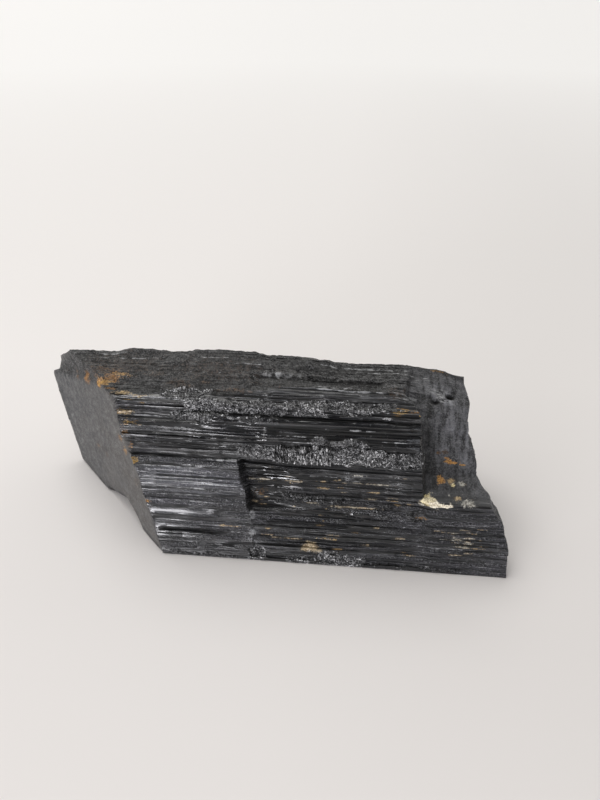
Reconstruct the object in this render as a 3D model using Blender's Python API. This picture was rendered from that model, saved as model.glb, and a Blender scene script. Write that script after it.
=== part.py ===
"""A log of black tourmaline: one broken, striated crystal that lies on one of its prism faces.

The crystal's long axis is X. Its section is a lopsided hexagon. The left end is one slanting break,
the right end is a ragged one, and layers have broken away along the front and at the upper right.
The skin is a grid: rows round the section, columns from the left end to the right one. A cap of
shrinking rings closes each end. Sizes are in millimetres in a frame with its zero at the left end
of the front foot (along the crystal, into its depth, up), and the finished mesh is set in metres.
"""
import bpy
import numpy as np

MM = 0.001
NODE = "tourmaline_crystal"

# The block that the crystal fills, in millimetres.
LENGTH = 203.5
DEPTH = 74.0
HEIGHT = 58.4
LEFT_REACH = 69.1              # the left tip stands this far past the front foot's left end
RIGHT_REACH = LENGTH - LEFT_REACH

# Corners of the section as (deep, up), round from the front foot. In the scar at the upper right a
# slab's worth of the crystal is gone, so the same corners lie further in.
SECTION = {
    #  corner        whole            in the scar     at the right end of the scar
    "front_foot": ((0.0, 0.0), (0.0, 0.0), (0.0, 0.0)),
    "slab_lip": ((14.2, 24.3), (13.8, 23.6), (14.0, 23.2)),
    "shelf_root": ((17.2, 29.4), (25.5, 28.0), (29.0, 25.0)),
    "front_ridge": ((31.0, 52.6), (38.5, 43.5), (40.5, 40.0)),
    "top_middle": ((45.0, 55.2), (48.5, 52.0), (48.5, 48.4)),
    "top_back": ((62.5, 57.0), (62.5, 57.0), (62.5, 57.0)),
    "back_shoulder": ((70.6, 46.6), (70.6, 46.6), (70.6, 46.6)),
    "back_point": ((73.9, 34.0), (73.9, 34.0), (73.0, 34.0)),
    "back_foot": ((52.0, 0.0), (52.0, 0.0), (52.0, 0.0)),
}
# Rows of the grid between each corner and the next.
ROWS = (14, 5, 15, 7, 8, 6, 6, 16, 11)

# The left end is one plane: a point's place along the crystal falls as it lies deeper.
LEFT_BY_DEEP = -1.03
LEFT_BY_UP = 0.2
LEFT_RECESS = 2.6              # the rough upper corner of the left end lies this far behind the plane
LEFT_RECESS_FADE = 1.6         # and this much less far at its back
LEFT_RECESS_LINE = ((35.5, 55.6), (68.5, 38.6))      # (deep, up) of its lower border
LEFT_RECESS_STEP = 1.4         # the recess starts over this height above that border
LEFT_RECESS_BACK = 6.0         # and fades from this height on, over as much again
# The right end leans the same way, and its upper part has broken a little shorter.
RIGHT_FOOT = 136.6
RIGHT_BY_DEEP = -0.10
RIGHT_BY_UP = -0.14
RIGHT_STEP = 2.4
RIGHT_STEP_UP = 24.5
RIGHT_LIP_DROP = 3.2           # the slab's upper front corner is knocked off
RIGHT_LIP = (14.0, 24.0)       # (deep, up) of that corner
RIGHT_LIP_REACH = 9.0
RIGHT_DENT = 4.2               # and the end is dented under the scar's floor
RIGHT_DENT_AT = (42.0, 36.0)
RIGHT_DENT_REACH = 20.0
RIGHT_NOTCH = 5.0              # the end is also shorter behind and below this (deep, up)
RIGHT_NOTCH_AT = (21.0, 26.0)
RIGHT_NOTCH_EDGE = (6.0, 10.0)
# Lumps of the right end's break: (height, deep, up, seed).
RIGHT_LUMPS = ((1.5, 13.0, 11.0, 31), (0.7, 6.0, 5.0, 32))
RIGHT_LUMPS_FULL = 2.8         # they reach their full height at 1 / this of the way to the middle

# Walls of broken edges: (round the section, along the crystal).
SCAR_WALL = ((0.0, 104.0), (26.0, 102.0), (40.0, 101.3), (52.0, 100.4), (60.0, 99.4), (67.0, 96.4),
             (73.0, 93.0), (93.0, 97.0), (211.0, 104.0))
BLOCK_WALL = ((0.0, 37.5), (10.0, 36.4), (19.0, 34.8), (24.0, 33.5), (32.0, 31.2), (39.0, 28.9),
              (60.0, 27.0), (120.0, 22.0), (211.0, 37.5))
WALL_WIDTH = 2.4               # a broken edge drops over this length
# Columns of the grid: left end to block wall, across it, to the scar wall, across it, to the right end.
COLUMNS = (15, 2, 14, 2, 8)
CAP_RINGS = 5
LEFT_MIDDLE = (37.0, 28.0)     # (deep, up) that the rings of each end shrink to
RIGHT_MIDDLE = (43.0, 19.0)

# The top back edge: its slow swell, and the small steps on it, as (along, up).
TOP_SWELL = ((-56.0, 54.4), (-30.0, 54.6), (0.0, 57.0), (24.0, 58.2), (45.0, 56.8), (66.0, 54.8),
             (92.0, 54.9), (109.0, 53.4), (119.0, 49.4), (126.0, 48.6))
TOP_EDGE = ((-56.0, 54.3), (-44.0, 55.0), (-37.0, 54.4), (-31.0, 54.4), (-24.0, 56.4), (-18.0, 56.9),
            (-6.0, 56.4), (0.0, 56.4), (5.0, 58.2), (13.0, 58.4), (20.0, 58.0), (30.0, 58.4),
            (36.0, 57.2), (42.0, 56.8), (55.0, 56.3), (60.0, 55.4), (64.0, 54.6), (72.0, 54.3),
            (92.0, 55.1), (101.0, 53.8), (109.0, 53.4), (119.0, 49.4), (126.0, 48.6))
SWELL_FRONT_REACH = 26.0       # round the section, how far the swell is felt in front of the edge
SWELL_BACK_REACH = 18.0
STEP_REACH = 6.0

# Layers: (along from, to, round from, to, height, edge at the left, at the right, edge round). A
# negative height is a hollow. Places along the crystal are for a straight block wall at BLOCK_MARK:
# see layer_relief.
BLOCK_MARK = 33.0
LAYERS = (
    (-60.0, 33.0, 3.0, 39.5, 0.5, 2.0, 1.2, 1.2),      # the block at the lower left stands proud
    (-60.0, 33.0, 20.0, 39.5, 0.8, 2.0, 1.6, 4.0),
    (33.0, 94.0, 20.0, 39.6, -1.5, 1.6, 10.0, 1.6),    # the long hollow beside it
    (33.0, 48.0, 21.0, 39.6, -2.4, 1.6, 16.0, 1.6),    # which is deepest at the block
    (48.0, 76.0, 23.0, 36.0, -0.8, 9.0, 9.0, 3.0),
    (-16.0, 10.0, 39.2, 40.6, -0.9, 4.0, 9.0, 0.7),    # groove above the block
    (-4.0, 20.0, 9.3, 10.8, -1.2, 3.0, 9.0, 0.7),      # groove in the block's foot
    (-8.0, 20.0, 16.4, 19.6, 0.7, 5.0, 5.0, 1.4),      # smooth rib of the block
    (40.0, 92.0, 15.4, 19.8, -1.2, 6.0, 6.0, 1.2),     # smooth trough under the hollow
    (16.0, 101.0, 47.4, 56.8, 1.0, 5.0, 5.0, 1.2),     # upper front ribs
    (12.0, 92.0, 56.8, 61.0, -1.0, 5.0, 5.0, 1.0),     # crumbled band under the ridge
    (46.0, 98.0, 66.0, 72.0, 0.9, 5.0, 5.0, 2.0),      # long swell on the top
    (40.0, 92.0, 72.0, 80.0, -1.3, 5.0, 5.0, 3.0),     # and the dip behind it
    (101.0, 140.0, 8.0, 13.0, 0.6, 6.0, 6.0, 1.2),     # ribs of the slab at the lower right
    (104.0, 140.0, 16.5, 19.0, -0.7, 4.0, 4.0, 2.0),
    (-30.0, 36.0, 97.0, 106.0, -2.2, 3.0, 3.0, 1.4),   # a layer gone from the upper back
    (52.0, 112.0, 108.0, 119.0, -2.6, 3.0, 3.0, 1.2),  # and another under it, further right
    (-60.0, 10.0, 126.0, 141.0, -1.8, 3.0, 3.0, 1.6),  # broad steps on the underside of the back
    (24.0, 88.0, 131.0, 149.0, -2.8, 3.0, 3.0, 1.6),
    (84.0, 126.0, 141.0, 156.0, -2.0, 3.0, 3.0, 1.6),
)
# Round knobs and pits: (along, round, radius, height).
KNOBS = (
    (104.3, 76.2, 2.6, 1.2),
    (106.0, 72.0, 2.4, -1.6),
    (112.0, 77.2, 2.8, -2.6),
    (61.0, 91.0, 4.0, 0.9),
    (57.5, 8.0, 3.0, -0.9),
    (16.0, 64.0, 4.0, 0.8),
)
# The left end's lower border is chipped: (deep from, to, highest, along).
CHIP = (13.0, 33.0, 7.0, 7.5)

# Ribs of each size: width, height, and how far one runs before it changes height.
RIBS = ((6.5, 0.8, 60.0), (3.4, 0.6, 34.0))
RIB_SEED = 41
RAGGED_WIDTH = 4.6             # at a broken end, strips this wide stop at different lengths
LEFT_RAGGED = 0.8
LEFT_RAGGED_ROUND = 62.0       # along the front only
# How far the left rim juts out, by place round the section: it has one small step.
LEFT_RIM = ((34.0, 0.0), (38.0, 0.8), (41.0, 0.0), (44.4, -0.8), (45.4, -0.6), (46.2, 2.6),
            (52.0, 1.6), (60.0, 0.0))
RIGHT_RAGGED = 2.2
SCAR_SMOOTHER = 0.75           # the share of its raggedness that the scar's part has lost
SCAR_RAGGED_LEVEL = 0.8        # the level that lost share is held at
SCAR_ROUND = (30.0, 92.0)      # the scar's part of the right end is smoother
SCAR_ROUND_EDGE = 6.0
UNEVEN = 0.35                  # height of the gentle unevenness of the whole skin
UNEVEN_ALONG = 9.0
UNEVEN_ROUND = 5.0
LEAST_UP = 0.4                 # only the underside itself touches the table
RIGHT_HOLLOW = 1.6             # the middle of the right end lies this far inside its rim

STONE_COLOUR = (0.018, 0.018, 0.021, 1.0)
STONE_ROUGHNESS = 0.42


def smooth_step(x):
    x = np.clip(x, 0.0, 1.0)
    return x * x * (3.0 - 2.0 * x)


def read_curve(points, x):
    """Height at x of the line through (x, height) points."""
    points = np.array(points)
    return np.interp(x, points[:, 0], points[:, 1])


def hash_noise(cells, seed):
    """A fixed number from 0 to 1 for each whole-number cell."""
    value = np.sin(cells * 127.1 + seed * 311.7) * 43758.5453
    return value - np.floor(value)


def hash_noise_2d(x_cells, y_cells, seed):
    return hash_noise(x_cells + 57.0 * y_cells, seed)


def value_noise(x, y, seed):
    """Smooth noise from -1 to 1, with cells one unit wide."""
    x0 = np.floor(x)
    y0 = np.floor(y)
    fx = smooth_step(x - x0)
    fy = smooth_step(y - y0)
    low = hash_noise_2d(x0, y0, seed) * (1 - fx) + hash_noise_2d(x0 + 1, y0, seed) * fx
    high = hash_noise_2d(x0, y0 + 1, seed) * (1 - fx) + hash_noise_2d(x0 + 1, y0 + 1, seed) * fx
    return 2.0 * (low * (1 - fy) + high * fy) - 1.0


def section_rows(version):
    """Points round the section for one version of it, and their distance round the whole section."""
    corners = np.array([corner[version] for corner in SECTION.values()])
    rows = []
    for index, count in enumerate(ROWS):
        start = corners[index]
        end = corners[(index + 1) % len(corners)]
        for step in range(count):
            rows.append(start + (end - start) * step / count)
    return np.array(rows)


def round_the_section(rows):
    """Distance of each row from the front foot, up over the top and round."""
    steps = np.linalg.norm(np.roll(rows, -1, axis=0) - rows, axis=1)
    return np.concatenate(([0.0], np.cumsum(steps)[:-1])), steps.sum()


def outward_normals(points):
    """Unit normals of the section at each row, in (deep, up), pointing away from the stone."""
    along_edge = np.roll(points, -1, axis=0) - np.roll(points, 1, axis=0)
    normals = np.stack((-along_edge[..., 1], along_edge[..., 0]), axis=-1)
    return normals / np.linalg.norm(normals, axis=-1, keepdims=True)


def left_plane(deep, up):
    return LEFT_BY_DEEP * deep + LEFT_BY_UP * up


def left_recess(deep, up):
    """How far the rough upper corner of the left end lies behind the plane."""
    (deep_a, up_a), (deep_b, up_b) = LEFT_RECESS_LINE
    slope = (up_b - up_a) / (deep_b - deep_a)
    above = up - (up_a + slope * (deep - deep_a))
    fade = LEFT_RECESS_FADE * smooth_step((above - LEFT_RECESS_BACK) / LEFT_RECESS_BACK)
    return LEFT_RECESS * smooth_step(above / LEFT_RECESS_STEP) - fade


def left_chip(deep, up):
    """How much the chip along the lower border of the left end takes off its length."""
    deep_from, deep_to, chip_up, chip_along = CHIP
    middle = 0.5 * (deep_from + deep_to)
    across = np.clip(1.0 - np.abs(deep - middle) / (0.5 * (deep_to - deep_from)), 0.0, 1.0)
    top = chip_up * np.clip(1.3 * across, 0.2, 1.0)
    return chip_along * smooth_step(across * 5.0) * smooth_step(1.6 * (1.1 - up / top))


def left_end(deep, up):
    return left_plane(deep, up) + left_recess(deep, up) + left_chip(deep, up)


def near(deep, up, middle, reach):
    """1 at the middle, falling to 0 at the reach."""
    return 1.0 - smooth_step(np.hypot(deep - middle[0], up - middle[1]) / reach)


def right_plane(deep, up):
    step = RIGHT_STEP * smooth_step((up - RIGHT_STEP_UP) / 3.0 + 0.5)
    lip = RIGHT_LIP_DROP * near(deep, up, RIGHT_LIP, RIGHT_LIP_REACH)
    dent = RIGHT_DENT * near(deep, up, RIGHT_DENT_AT, RIGHT_DENT_REACH)
    notch = RIGHT_NOTCH * smooth_step((deep - RIGHT_NOTCH_AT[0]) / RIGHT_NOTCH_EDGE[0] + 0.5)
    notch *= smooth_step((RIGHT_NOTCH_AT[1] - up) / RIGHT_NOTCH_EDGE[1] + 0.5)
    return RIGHT_FOOT + RIGHT_BY_DEEP * deep + RIGHT_BY_UP * up - step - lip - dent - notch


def right_end(deep, up):
    """The right end is a rough break, hollow inside its rim."""
    along = right_plane(deep, up) - RIGHT_HOLLOW
    for height, lump_deep, lump_up, seed in RIGHT_LUMPS:
        along = along + height * value_noise(deep / lump_deep, up / lump_up, seed)
    return along


def column_places(start, block, scar, end):
    """Places along the crystal of every column, for one row."""
    half = 0.5 * WALL_WIDTH
    marks = (start, block - half, block + half, scar - half, scar + half, end)
    places = []
    for index, count in enumerate(COLUMNS):
        for step in range(count):
            places.append(marks[index] + (marks[index + 1] - marks[index]) * step / count)
    places.append(end)
    return places


def band(value, low, high, edge):
    """1 between low and high, 0 outside, with soft edges."""
    return smooth_step((value - low) / edge + 0.5) * smooth_step((high - value) / edge + 0.5)


def layer_relief(along, around):
    relief = np.zeros_like(along)
    straight = along - read_curve(BLOCK_WALL, around) + BLOCK_MARK
    for along_from, along_to, round_from, round_to, height, edge_left, edge_right, edge_round in LAYERS:
        shape = smooth_step((straight - along_from) / edge_left + 0.5)
        shape = shape * smooth_step((along_to - straight) / edge_right + 0.5)
        relief += height * shape * band(around, round_from, round_to, edge_round)
    for knob_along, knob_round, radius, height in KNOBS:
        away = np.hypot(along - knob_along, around - knob_round) / radius
        relief += height * (1.0 - smooth_step(away))
    return relief


def rib_relief(along, around):
    """Ribs along the crystal: each has its own height, which changes where the rib has broken."""
    relief = np.zeros_like(along)
    for size, (width, height, run) in enumerate(RIBS):
        wander = 0.35 * width * value_noise(along / 90.0, around / 30.0, RIB_SEED + size)
        place = (around + wander) / width
        rib = np.floor(place)
        across = 2.0 * (place - rib) - 1.0
        start = hash_noise(rib, RIB_SEED + 7 + size)
        piece = np.floor(along / run + start * 5.0)
        level = hash_noise_2d(rib, piece, RIB_SEED + 13 + size)
        relief += height * (level - 0.5) * (1.0 - across ** 4)
    return relief


def top_edge_shift(along, around, edge_around):
    """How far the top is moved up or down by the swell and the steps of its back edge."""
    swell = read_curve(TOP_SWELL, along)
    step = read_curve(TOP_EDGE, along) - swell
    away = np.abs(around - edge_around)
    reach = np.where(around < edge_around, SWELL_FRONT_REACH, SWELL_BACK_REACH)
    rise = (swell - SECTION["top_back"][0][1]) * (1.0 - smooth_step(away / reach))
    return rise + step * (1.0 - smooth_step(away / STEP_REACH))


def right_rim(around, deep, up):
    """Place along the crystal of the right end's rim, ragged but for the scar's part."""
    strip = np.floor(around / RAGGED_WIDTH)
    ragged = 1.0 - SCAR_SMOOTHER * band(around, *SCAR_ROUND, SCAR_ROUND_EDGE)
    level = ragged * hash_noise(strip, 4) + (1.0 - ragged) * SCAR_RAGGED_LEVEL
    return right_plane(deep, up) - RIGHT_RAGGED * level


def column_grid(around, whole, scar_end):
    """Places along the crystal: rows round the section by columns."""
    columns = []
    for row, (deep, up) in enumerate(whole):
        start = left_end(deep, up)
        if around[row] < LEFT_RAGGED_ROUND:
            start += LEFT_RAGGED * hash_noise(np.floor(around[row] / RAGGED_WIDTH), 3)
        start -= read_curve(LEFT_RIM, around[row])
        block_wall = read_curve(BLOCK_WALL, around[row])
        scar_wall = read_curve(SCAR_WALL, around[row])
        end = right_rim(around[row], *scar_end[row])
        columns.append(column_places(start, block_wall, scar_wall, end))
    return np.array(columns)


def skin_grid():
    """Points of the skin as rows round the section by columns along the crystal."""
    whole = section_rows(0)
    scar = section_rows(1)
    scar_end = section_rows(2)
    around_rows, girth = round_the_section(whole)
    along = column_grid(around_rows, whole, scar_end)
    around = np.repeat(around_rows[:, None], along.shape[1], axis=1)

    scar_place = read_curve(SCAR_WALL, around)
    end_place = along[:, -1:]
    in_scar = smooth_step((along - scar_place) / WALL_WIDTH + 0.5)[..., None]
    to_end = np.clip((along - scar_place) / (end_place - scar_place), 0.0, 1.0)[..., None]
    scar_now = scar[:, None] * (1 - to_end) + scar_end[:, None] * to_end
    section = whole[:, None] * (1 - in_scar) + scar_now * in_scar

    relief = layer_relief(along, around) + rib_relief(along, around)
    relief += UNEVEN * value_noise(along / UNEVEN_ALONG, around / UNEVEN_ROUND, 5)
    section = section + outward_normals(section) * relief[..., None]
    edge_around = around_rows[sum(ROWS[:5])]
    section[..., 1] += top_edge_shift(along, around, edge_around)

    bottom = around >= girth - SECTION["back_foot"][0][0] - 1e-6
    section[..., 1] = np.where(bottom, 0.0, np.maximum(section[..., 1], LEAST_UP))
    section[0, :, 1] = 0.0
    return np.concatenate((along[..., None], section), axis=-1)


def cap_rings(rim, middle, is_left):
    """Rings that close an end: each is the rim drawn in towards the middle of the cap."""
    rings = []
    for ring in range(1, CAP_RINGS):
        share = ring / CAP_RINGS
        deep = rim[:, 1] + (middle[0] - rim[:, 1]) * share
        up = rim[:, 2] + (middle[1] - rim[:, 2]) * share
        if is_left:
            along = left_end(deep, up)
        else:
            weight = smooth_step(share * RIGHT_LUMPS_FULL)
            along = rim[:, 0] * (1 - weight) + right_end(deep, up) * weight
        rings.append(np.stack((along, deep, up), axis=-1))
    return rings


def crystal_mesh():
    grid = skin_grid()
    rows, columns = grid.shape[:2]
    rings = cap_rings(grid[:, 0], LEFT_MIDDLE, True)[::-1]
    rings += [grid[:, column] for column in range(columns)]
    rings += cap_rings(grid[:, -1], RIGHT_MIDDLE, False)
    left_middle = (float(left_end(*LEFT_MIDDLE)), *LEFT_MIDDLE)
    right_middle = (float(right_end(*RIGHT_MIDDLE)), *RIGHT_MIDDLE)
    points = np.concatenate((*rings, [left_middle, right_middle]))
    faces = []
    for ring in range(len(rings) - 1):
        for row in range(rows):
            first = ring * rows
            second = first + rows
            after = (row + 1) % rows
            faces.append((first + row, second + row, second + after, first + after))
    left_index = len(rings) * rows
    last_ring = (len(rings) - 1) * rows
    for row in range(rows):
        after = (row + 1) % rows
        faces.append((left_index, row, after))
        faces.append((left_index + 1, last_ring + after, last_ring + row))
    return np.clip(points, (-LEFT_REACH, 0.0, 0.0), (RIGHT_REACH, DEPTH, HEIGHT)), faces


def stone_material():
    material = bpy.data.materials.new("black_tourmaline")
    material.use_nodes = True
    shader = material.node_tree.nodes["Principled BSDF"]
    shader.inputs["Base Color"].default_value = STONE_COLOUR
    shader.inputs["Roughness"].default_value = STONE_ROUGHNESS
    shader.inputs["Metallic"].default_value = 0.0
    return material


def build_crystal():
    points, faces = crystal_mesh()
    middle = np.array((RIGHT_REACH - LENGTH / 2, DEPTH / 2, 0.0))
    mesh = bpy.data.meshes.new(NODE)
    mesh.from_pydata(((points - middle) * MM).tolist(), [], faces)
    mesh.update()
    crystal = bpy.data.objects.new(NODE, mesh)
    mesh.materials.append(stone_material())
    bpy.context.scene.collection.objects.link(crystal)
    return crystal


def clear_scene():
    for item in list(bpy.data.objects):
        bpy.data.objects.remove(item, do_unlink=True)


clear_scene()
build_crystal()
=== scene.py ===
"""Looks of the black tourmaline log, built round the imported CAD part.

The stone's skin replaces the CAD solid. It is made by the same rules as that solid, on a grid about
five times finer, with the fine ribs, broken ledges and crumbled bands that the CAD leaves out. Small
angular grains are strewn over the crumbled bands. Sizes of both are in millimetres in the crystal's
own frame: along it from the left end of its front foot, into its depth, and up. Around is the
distance from the front foot, up over the top and round the section.
"""
import itertools
import math
from types import SimpleNamespace

import bpy
import numpy as np
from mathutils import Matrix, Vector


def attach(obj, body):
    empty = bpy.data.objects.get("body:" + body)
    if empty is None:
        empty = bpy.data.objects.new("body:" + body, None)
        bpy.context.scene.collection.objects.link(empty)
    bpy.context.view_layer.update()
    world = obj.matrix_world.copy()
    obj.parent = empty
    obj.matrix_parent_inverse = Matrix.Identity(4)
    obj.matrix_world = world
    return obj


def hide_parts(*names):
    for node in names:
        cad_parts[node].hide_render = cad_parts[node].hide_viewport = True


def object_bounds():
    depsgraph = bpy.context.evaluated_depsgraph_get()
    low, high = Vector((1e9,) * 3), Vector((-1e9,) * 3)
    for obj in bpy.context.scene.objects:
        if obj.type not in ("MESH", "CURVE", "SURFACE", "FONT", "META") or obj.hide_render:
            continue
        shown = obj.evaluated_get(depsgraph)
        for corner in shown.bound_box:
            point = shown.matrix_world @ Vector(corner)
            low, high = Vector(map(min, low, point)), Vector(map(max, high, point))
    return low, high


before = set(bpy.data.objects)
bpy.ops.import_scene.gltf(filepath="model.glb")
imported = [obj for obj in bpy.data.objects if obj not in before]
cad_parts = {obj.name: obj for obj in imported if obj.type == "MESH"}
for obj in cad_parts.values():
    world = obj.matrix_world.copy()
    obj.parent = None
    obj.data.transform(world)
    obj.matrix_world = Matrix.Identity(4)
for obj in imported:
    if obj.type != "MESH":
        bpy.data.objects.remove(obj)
cad_low, cad_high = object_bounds()

MM = 0.001
NODE = "tourmaline_crystal"

# ---------------------------------------------------------------- the crystal's shape, as in CAD
LENGTH = 203.5
LEFT_REACH = 69.1
RIGHT_REACH = LENGTH - LEFT_REACH

# Corners of the section as (deep, up): whole, in the scar, and at the scar's right end.
SECTION = {
    "front_foot": ((0, 0), (0, 0), (0, 0)),
    "slab_lip": ((14.2, 24.3), (13.8, 23.6), (14, 23.2)),
    "shelf_root": ((17.2, 29.4), (25.5, 28), (29, 25)),
    "front_ridge": ((31, 52.6), (38.5, 43.5), (40.5, 40)),
    "top_middle": ((45, 55.2), (48.5, 52), (48.5, 48.4)),
    "top_back": ((62.5, 57), (62.5, 57), (62.5, 57)),
    "back_shoulder": ((70.6, 46.6), (70.6, 46.6), (70.6, 46.6)),
    "back_point": ((73.9, 34), (73.9, 34), (73, 34)),
    "back_foot": ((52, 0), (52, 0), (52, 0)),
}
ROWS = (96, 22, 92, 44, 40, 20, 18, 44, 14)          # grid rows between each corner and the next
TOP_BACK_ROW = sum(ROWS[:5])
BACK_FOOT_ROW = sum(ROWS[:-1])

LEFT_BY_DEEP = -1.03
LEFT_BY_UP = 0.2
LEFT_RECESS = 2.6
LEFT_RECESS_FADE = 1.6         # the recess is this much shallower at the back of the top
LEFT_RECESS_STEP = 1.4
LEFT_RECESS_BACK = 6
LEFT_RECESS_LINE = ((35.5, 55.6), (68.5, 38.6))
RIGHT_FOOT = 136.6
RIGHT_BY_DEEP = -0.1
RIGHT_BY_UP = -0.14
RIGHT_STEP = 2.4
RIGHT_STEP_UP = 24.5
RIGHT_STEP_EDGE = 3
RIGHT_LIP_DROP = 3.2
RIGHT_LIP = (14, 24)
RIGHT_LIP_REACH = 9
RIGHT_DENT = 4.2
RIGHT_DENT_AT = (42, 36)
RIGHT_DENT_REACH = 20
RIGHT_NOTCH = 5               # the right end is also shorter behind and below this (deep, up)
RIGHT_NOTCH_AT = (21, 26)
RIGHT_NOTCH_EDGE = (6, 10)

SCAR_WALL = ((0, 104), (26, 102), (40, 101.3), (52, 100.4), (60, 99.4), (67, 96.4),
             (73, 93), (93, 97), (211, 104))
BLOCK_WALL = ((0, 37.5), (10, 36.4), (19, 34.8), (24, 33.5), (32, 31.2), (39, 28.9),
              (60, 27), (120, 22), (211, 37.5))
WALL_WIDTH = 2.4
COLUMNS = (64, 8, 104, 8, 44)
CAP_RINGS = 13
LEFT_MIDDLE = (37, 28)
RIGHT_MIDDLE = (43, 19)
RIGHT_HOLLOW = 1.6
# Lumps of the right end's face: (height, cell length, cell width, seed).
RIGHT_LUMPS = ((1.5, 13, 11, 31), (0.7, 6, 5, 32), (0.5, 2.2, 1.8, 33), (0.3, 1.1, 1, 34))
RIGHT_LUMPS_FULL = 2.8

# The top back edge: its slow swell, and the small steps on it, as (along, up).
TOP_SWELL = ((-56, 54.4), (-30, 54.6), (0, 57), (24, 58.2), (45, 56.8), (66, 54.8),
             (92, 54.9), (109, 53.4), (119, 49.4), (126, 48.6))
TOP_EDGE = ((-56, 54.3), (-44, 55), (-37, 54.4), (-31, 54.4), (-24, 56.4), (-18, 56.9),
            (-6, 56.4), (0, 56.4), (5, 58.2), (13, 58.4), (20, 58), (30, 58.4),
            (36, 57.2), (42, 56.8), (55, 56.3), (60, 55.4), (64, 54.6), (72, 54.3),
            (92, 55.1), (101, 53.8), (109, 53.4), (119, 49.4), (126, 48.6))

# Broad ledges and hollows: along from, to, round from, to, height, edge at the left, at the right,
# edge round.
BLOCK_MARK = 33
LAYERS = (
    (-60, 33, 3, 39.5, 0.5, 2, 1.2, 1.2),
    (-60, 33, 20, 39.5, 0.8, 2, 1.6, 4),
    (33, 94, 20, 39.6, -1.5, 1.6, 10, 1.6),
    (33, 48, 21, 39.6, -2.4, 1.6, 16, 1.6),
    (48, 76, 23, 36, -0.8, 9, 9, 3),
    (-16, 10, 39.2, 40.6, -0.9, 4, 9, 0.7),
    (-4, 20, 9.3, 10.8, -1.2, 3, 9, 0.7),
    (-8, 20, 16.4, 19.6, 0.7, 5, 5, 1.4),
    (40, 92, 15.4, 19.8, -1.2, 6, 6, 1.2),
    (16, 101, 47.4, 56.8, 1, 5, 5, 1.2),
    (12, 92, 56.8, 61, -1, 5, 5, 1),
    (46, 98, 66, 72, 0.9, 5, 5, 2),
    (40, 92, 72, 80, -1.3, 5, 5, 3),
    (101, 140, 8, 13, 0.6, 6, 6, 1.2),
    (104, 140, 16.5, 19, -0.7, 4, 4, 2),
    (-30, 36, 97, 106, -2.2, 3, 3, 1.4),
    (52, 112, 108, 119, -2.6, 3, 3, 1.2),
    (-60, 10, 126, 141, -1.8, 3, 3, 1.6),
    (24, 88, 131, 149, -2.8, 3, 3, 1.6),
    (84, 126, 141, 156, -2, 3, 3, 1.6),
)
KNOBS = (
    (104.3, 76.2, 2.6, 1.2),
    (106, 72, 2.4, -1.6),
    (112, 77.2, 2.8, -2.6),
    (61, 91, 4, 0.9),
    (57.5, 8, 3, -0.9),
    (16, 64, 4, 0.8),
)
CHIP = (13, 33, 7, 7.5)
# Ribs of the CAD: width, height, and length over which a rib keeps its level.
RIBS = ((6.5, 0.8, 60), (3.4, 0.6, 34))
RIB_WANDER = 0.35
RIB_WANDER_CELLS = (90, 30)
RIB_SEED = 41
RAGGED_WIDTH = 4.6
LEFT_RAGGED = 0.8
LEFT_RAGGED_ROUND = 62
RIGHT_RAGGED = 2.2
LEFT_RAGGED_SEED = 3
RIGHT_RAGGED_SEED = 4
LEFT_TOP_RAGGED = 0.9
LEFT_TOP_ROUND = (66, 95)
LEFT_TOP_EDGE = 4
LEFT_TOP_STEP = 1.5
LEFT_TOP_SEED = 29
SCAR_ROUND = (30, 92)           # the scar's reach round the section
SCAR_ROUND_EDGE = 6
SCAR_SMOOTHER = 0.75            # how much less ragged the right rim is across the scar
SCAR_RAGGED_LEVEL = 0.8
UNEVEN = 0.35
SWELL_FRONT_REACH = 26
SWELL_BACK_REACH = 18
STEP_REACH = 6
LEAST_UP = 0.4
# The left rim juts out by this much, at these places round the section, with one small step.
LEFT_RIM = ((34, 0), (38, 0.8), (41, 0), (44.4, -0.8), (45.4, -0.6),
            (46.2, 2.6), (52, 1.6), (60, 0))

# ---------------------------------------------------------------- what only the looks have
# Fine ribs: width, height, length over which a rib changes, and the steepest lean of its face.
FINE_RIBS = ((2.3, 1, 60, 0.5), (1.25, 0.6, 42, 0.65), (0.72, 0.25, 26, 0.65))
# Crevices between them: for each size of rib, the share of its borders and the depth.
CREVICES = {0: ((0.55, 0.9),), 1: ((0.3, 0.5),)}
CREVICE_HALF = 0.34
FINE_SEEDS = {"wander": 81, "start": 83, "uneven": 84, "level": 87, "tip": 91, "tone": 95, "crevice": 97}
FINE_WANDER = 0.5
FINE_WANDER_CELLS = (80, 12)
FINE_UNEVEN = 0.8               # how uneven the ribs' widths are
FINE_UNEVEN_CELL = 2.6
# Broad smooth ribs, which catch the window: (along from, to, round from, to, lean).
SMOOTH_RIBS = (
    (-8, 20, 16.5, 19.4, 0.02),
    (-6, 13, 10.4, 13.9, 0),
    (-11, 29, 28.8, 30.2, 0.1),
    (-8, 31, 30.8, 31.6, 0.1),
    (-13, 25, 32.4, 33.2, 0.1),
    (-12, 14, 34.6, 35.4, 0.1),
    (-8, 30, 25.6, 26.4, 0.1),
    (-20, 7, 61.8, 62.4, 0),
    (-22, 2, 59.6, 60, 0),
)
SMOOTH_RIB_EDGES = (8, 0.5)
POLISH_FLATTER = 0.9
BLOCK = (-60, 33, 3, 38.5)      # the lower left block: along from, to, round from, to
BLOCK_EDGES = (3, 2)
WORN_GLOSS = 0.7
WORN_BLOCK = 0.6              # how much flatter the fine ribs of the lower left block are
JAG_WIDTH = 1.9
JAG_SEED = 61
RIM_JAG = 0.4
SCAR_JAG = 0.5
JAG = 1                      # broken edges step this far from one rib to the next
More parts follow.
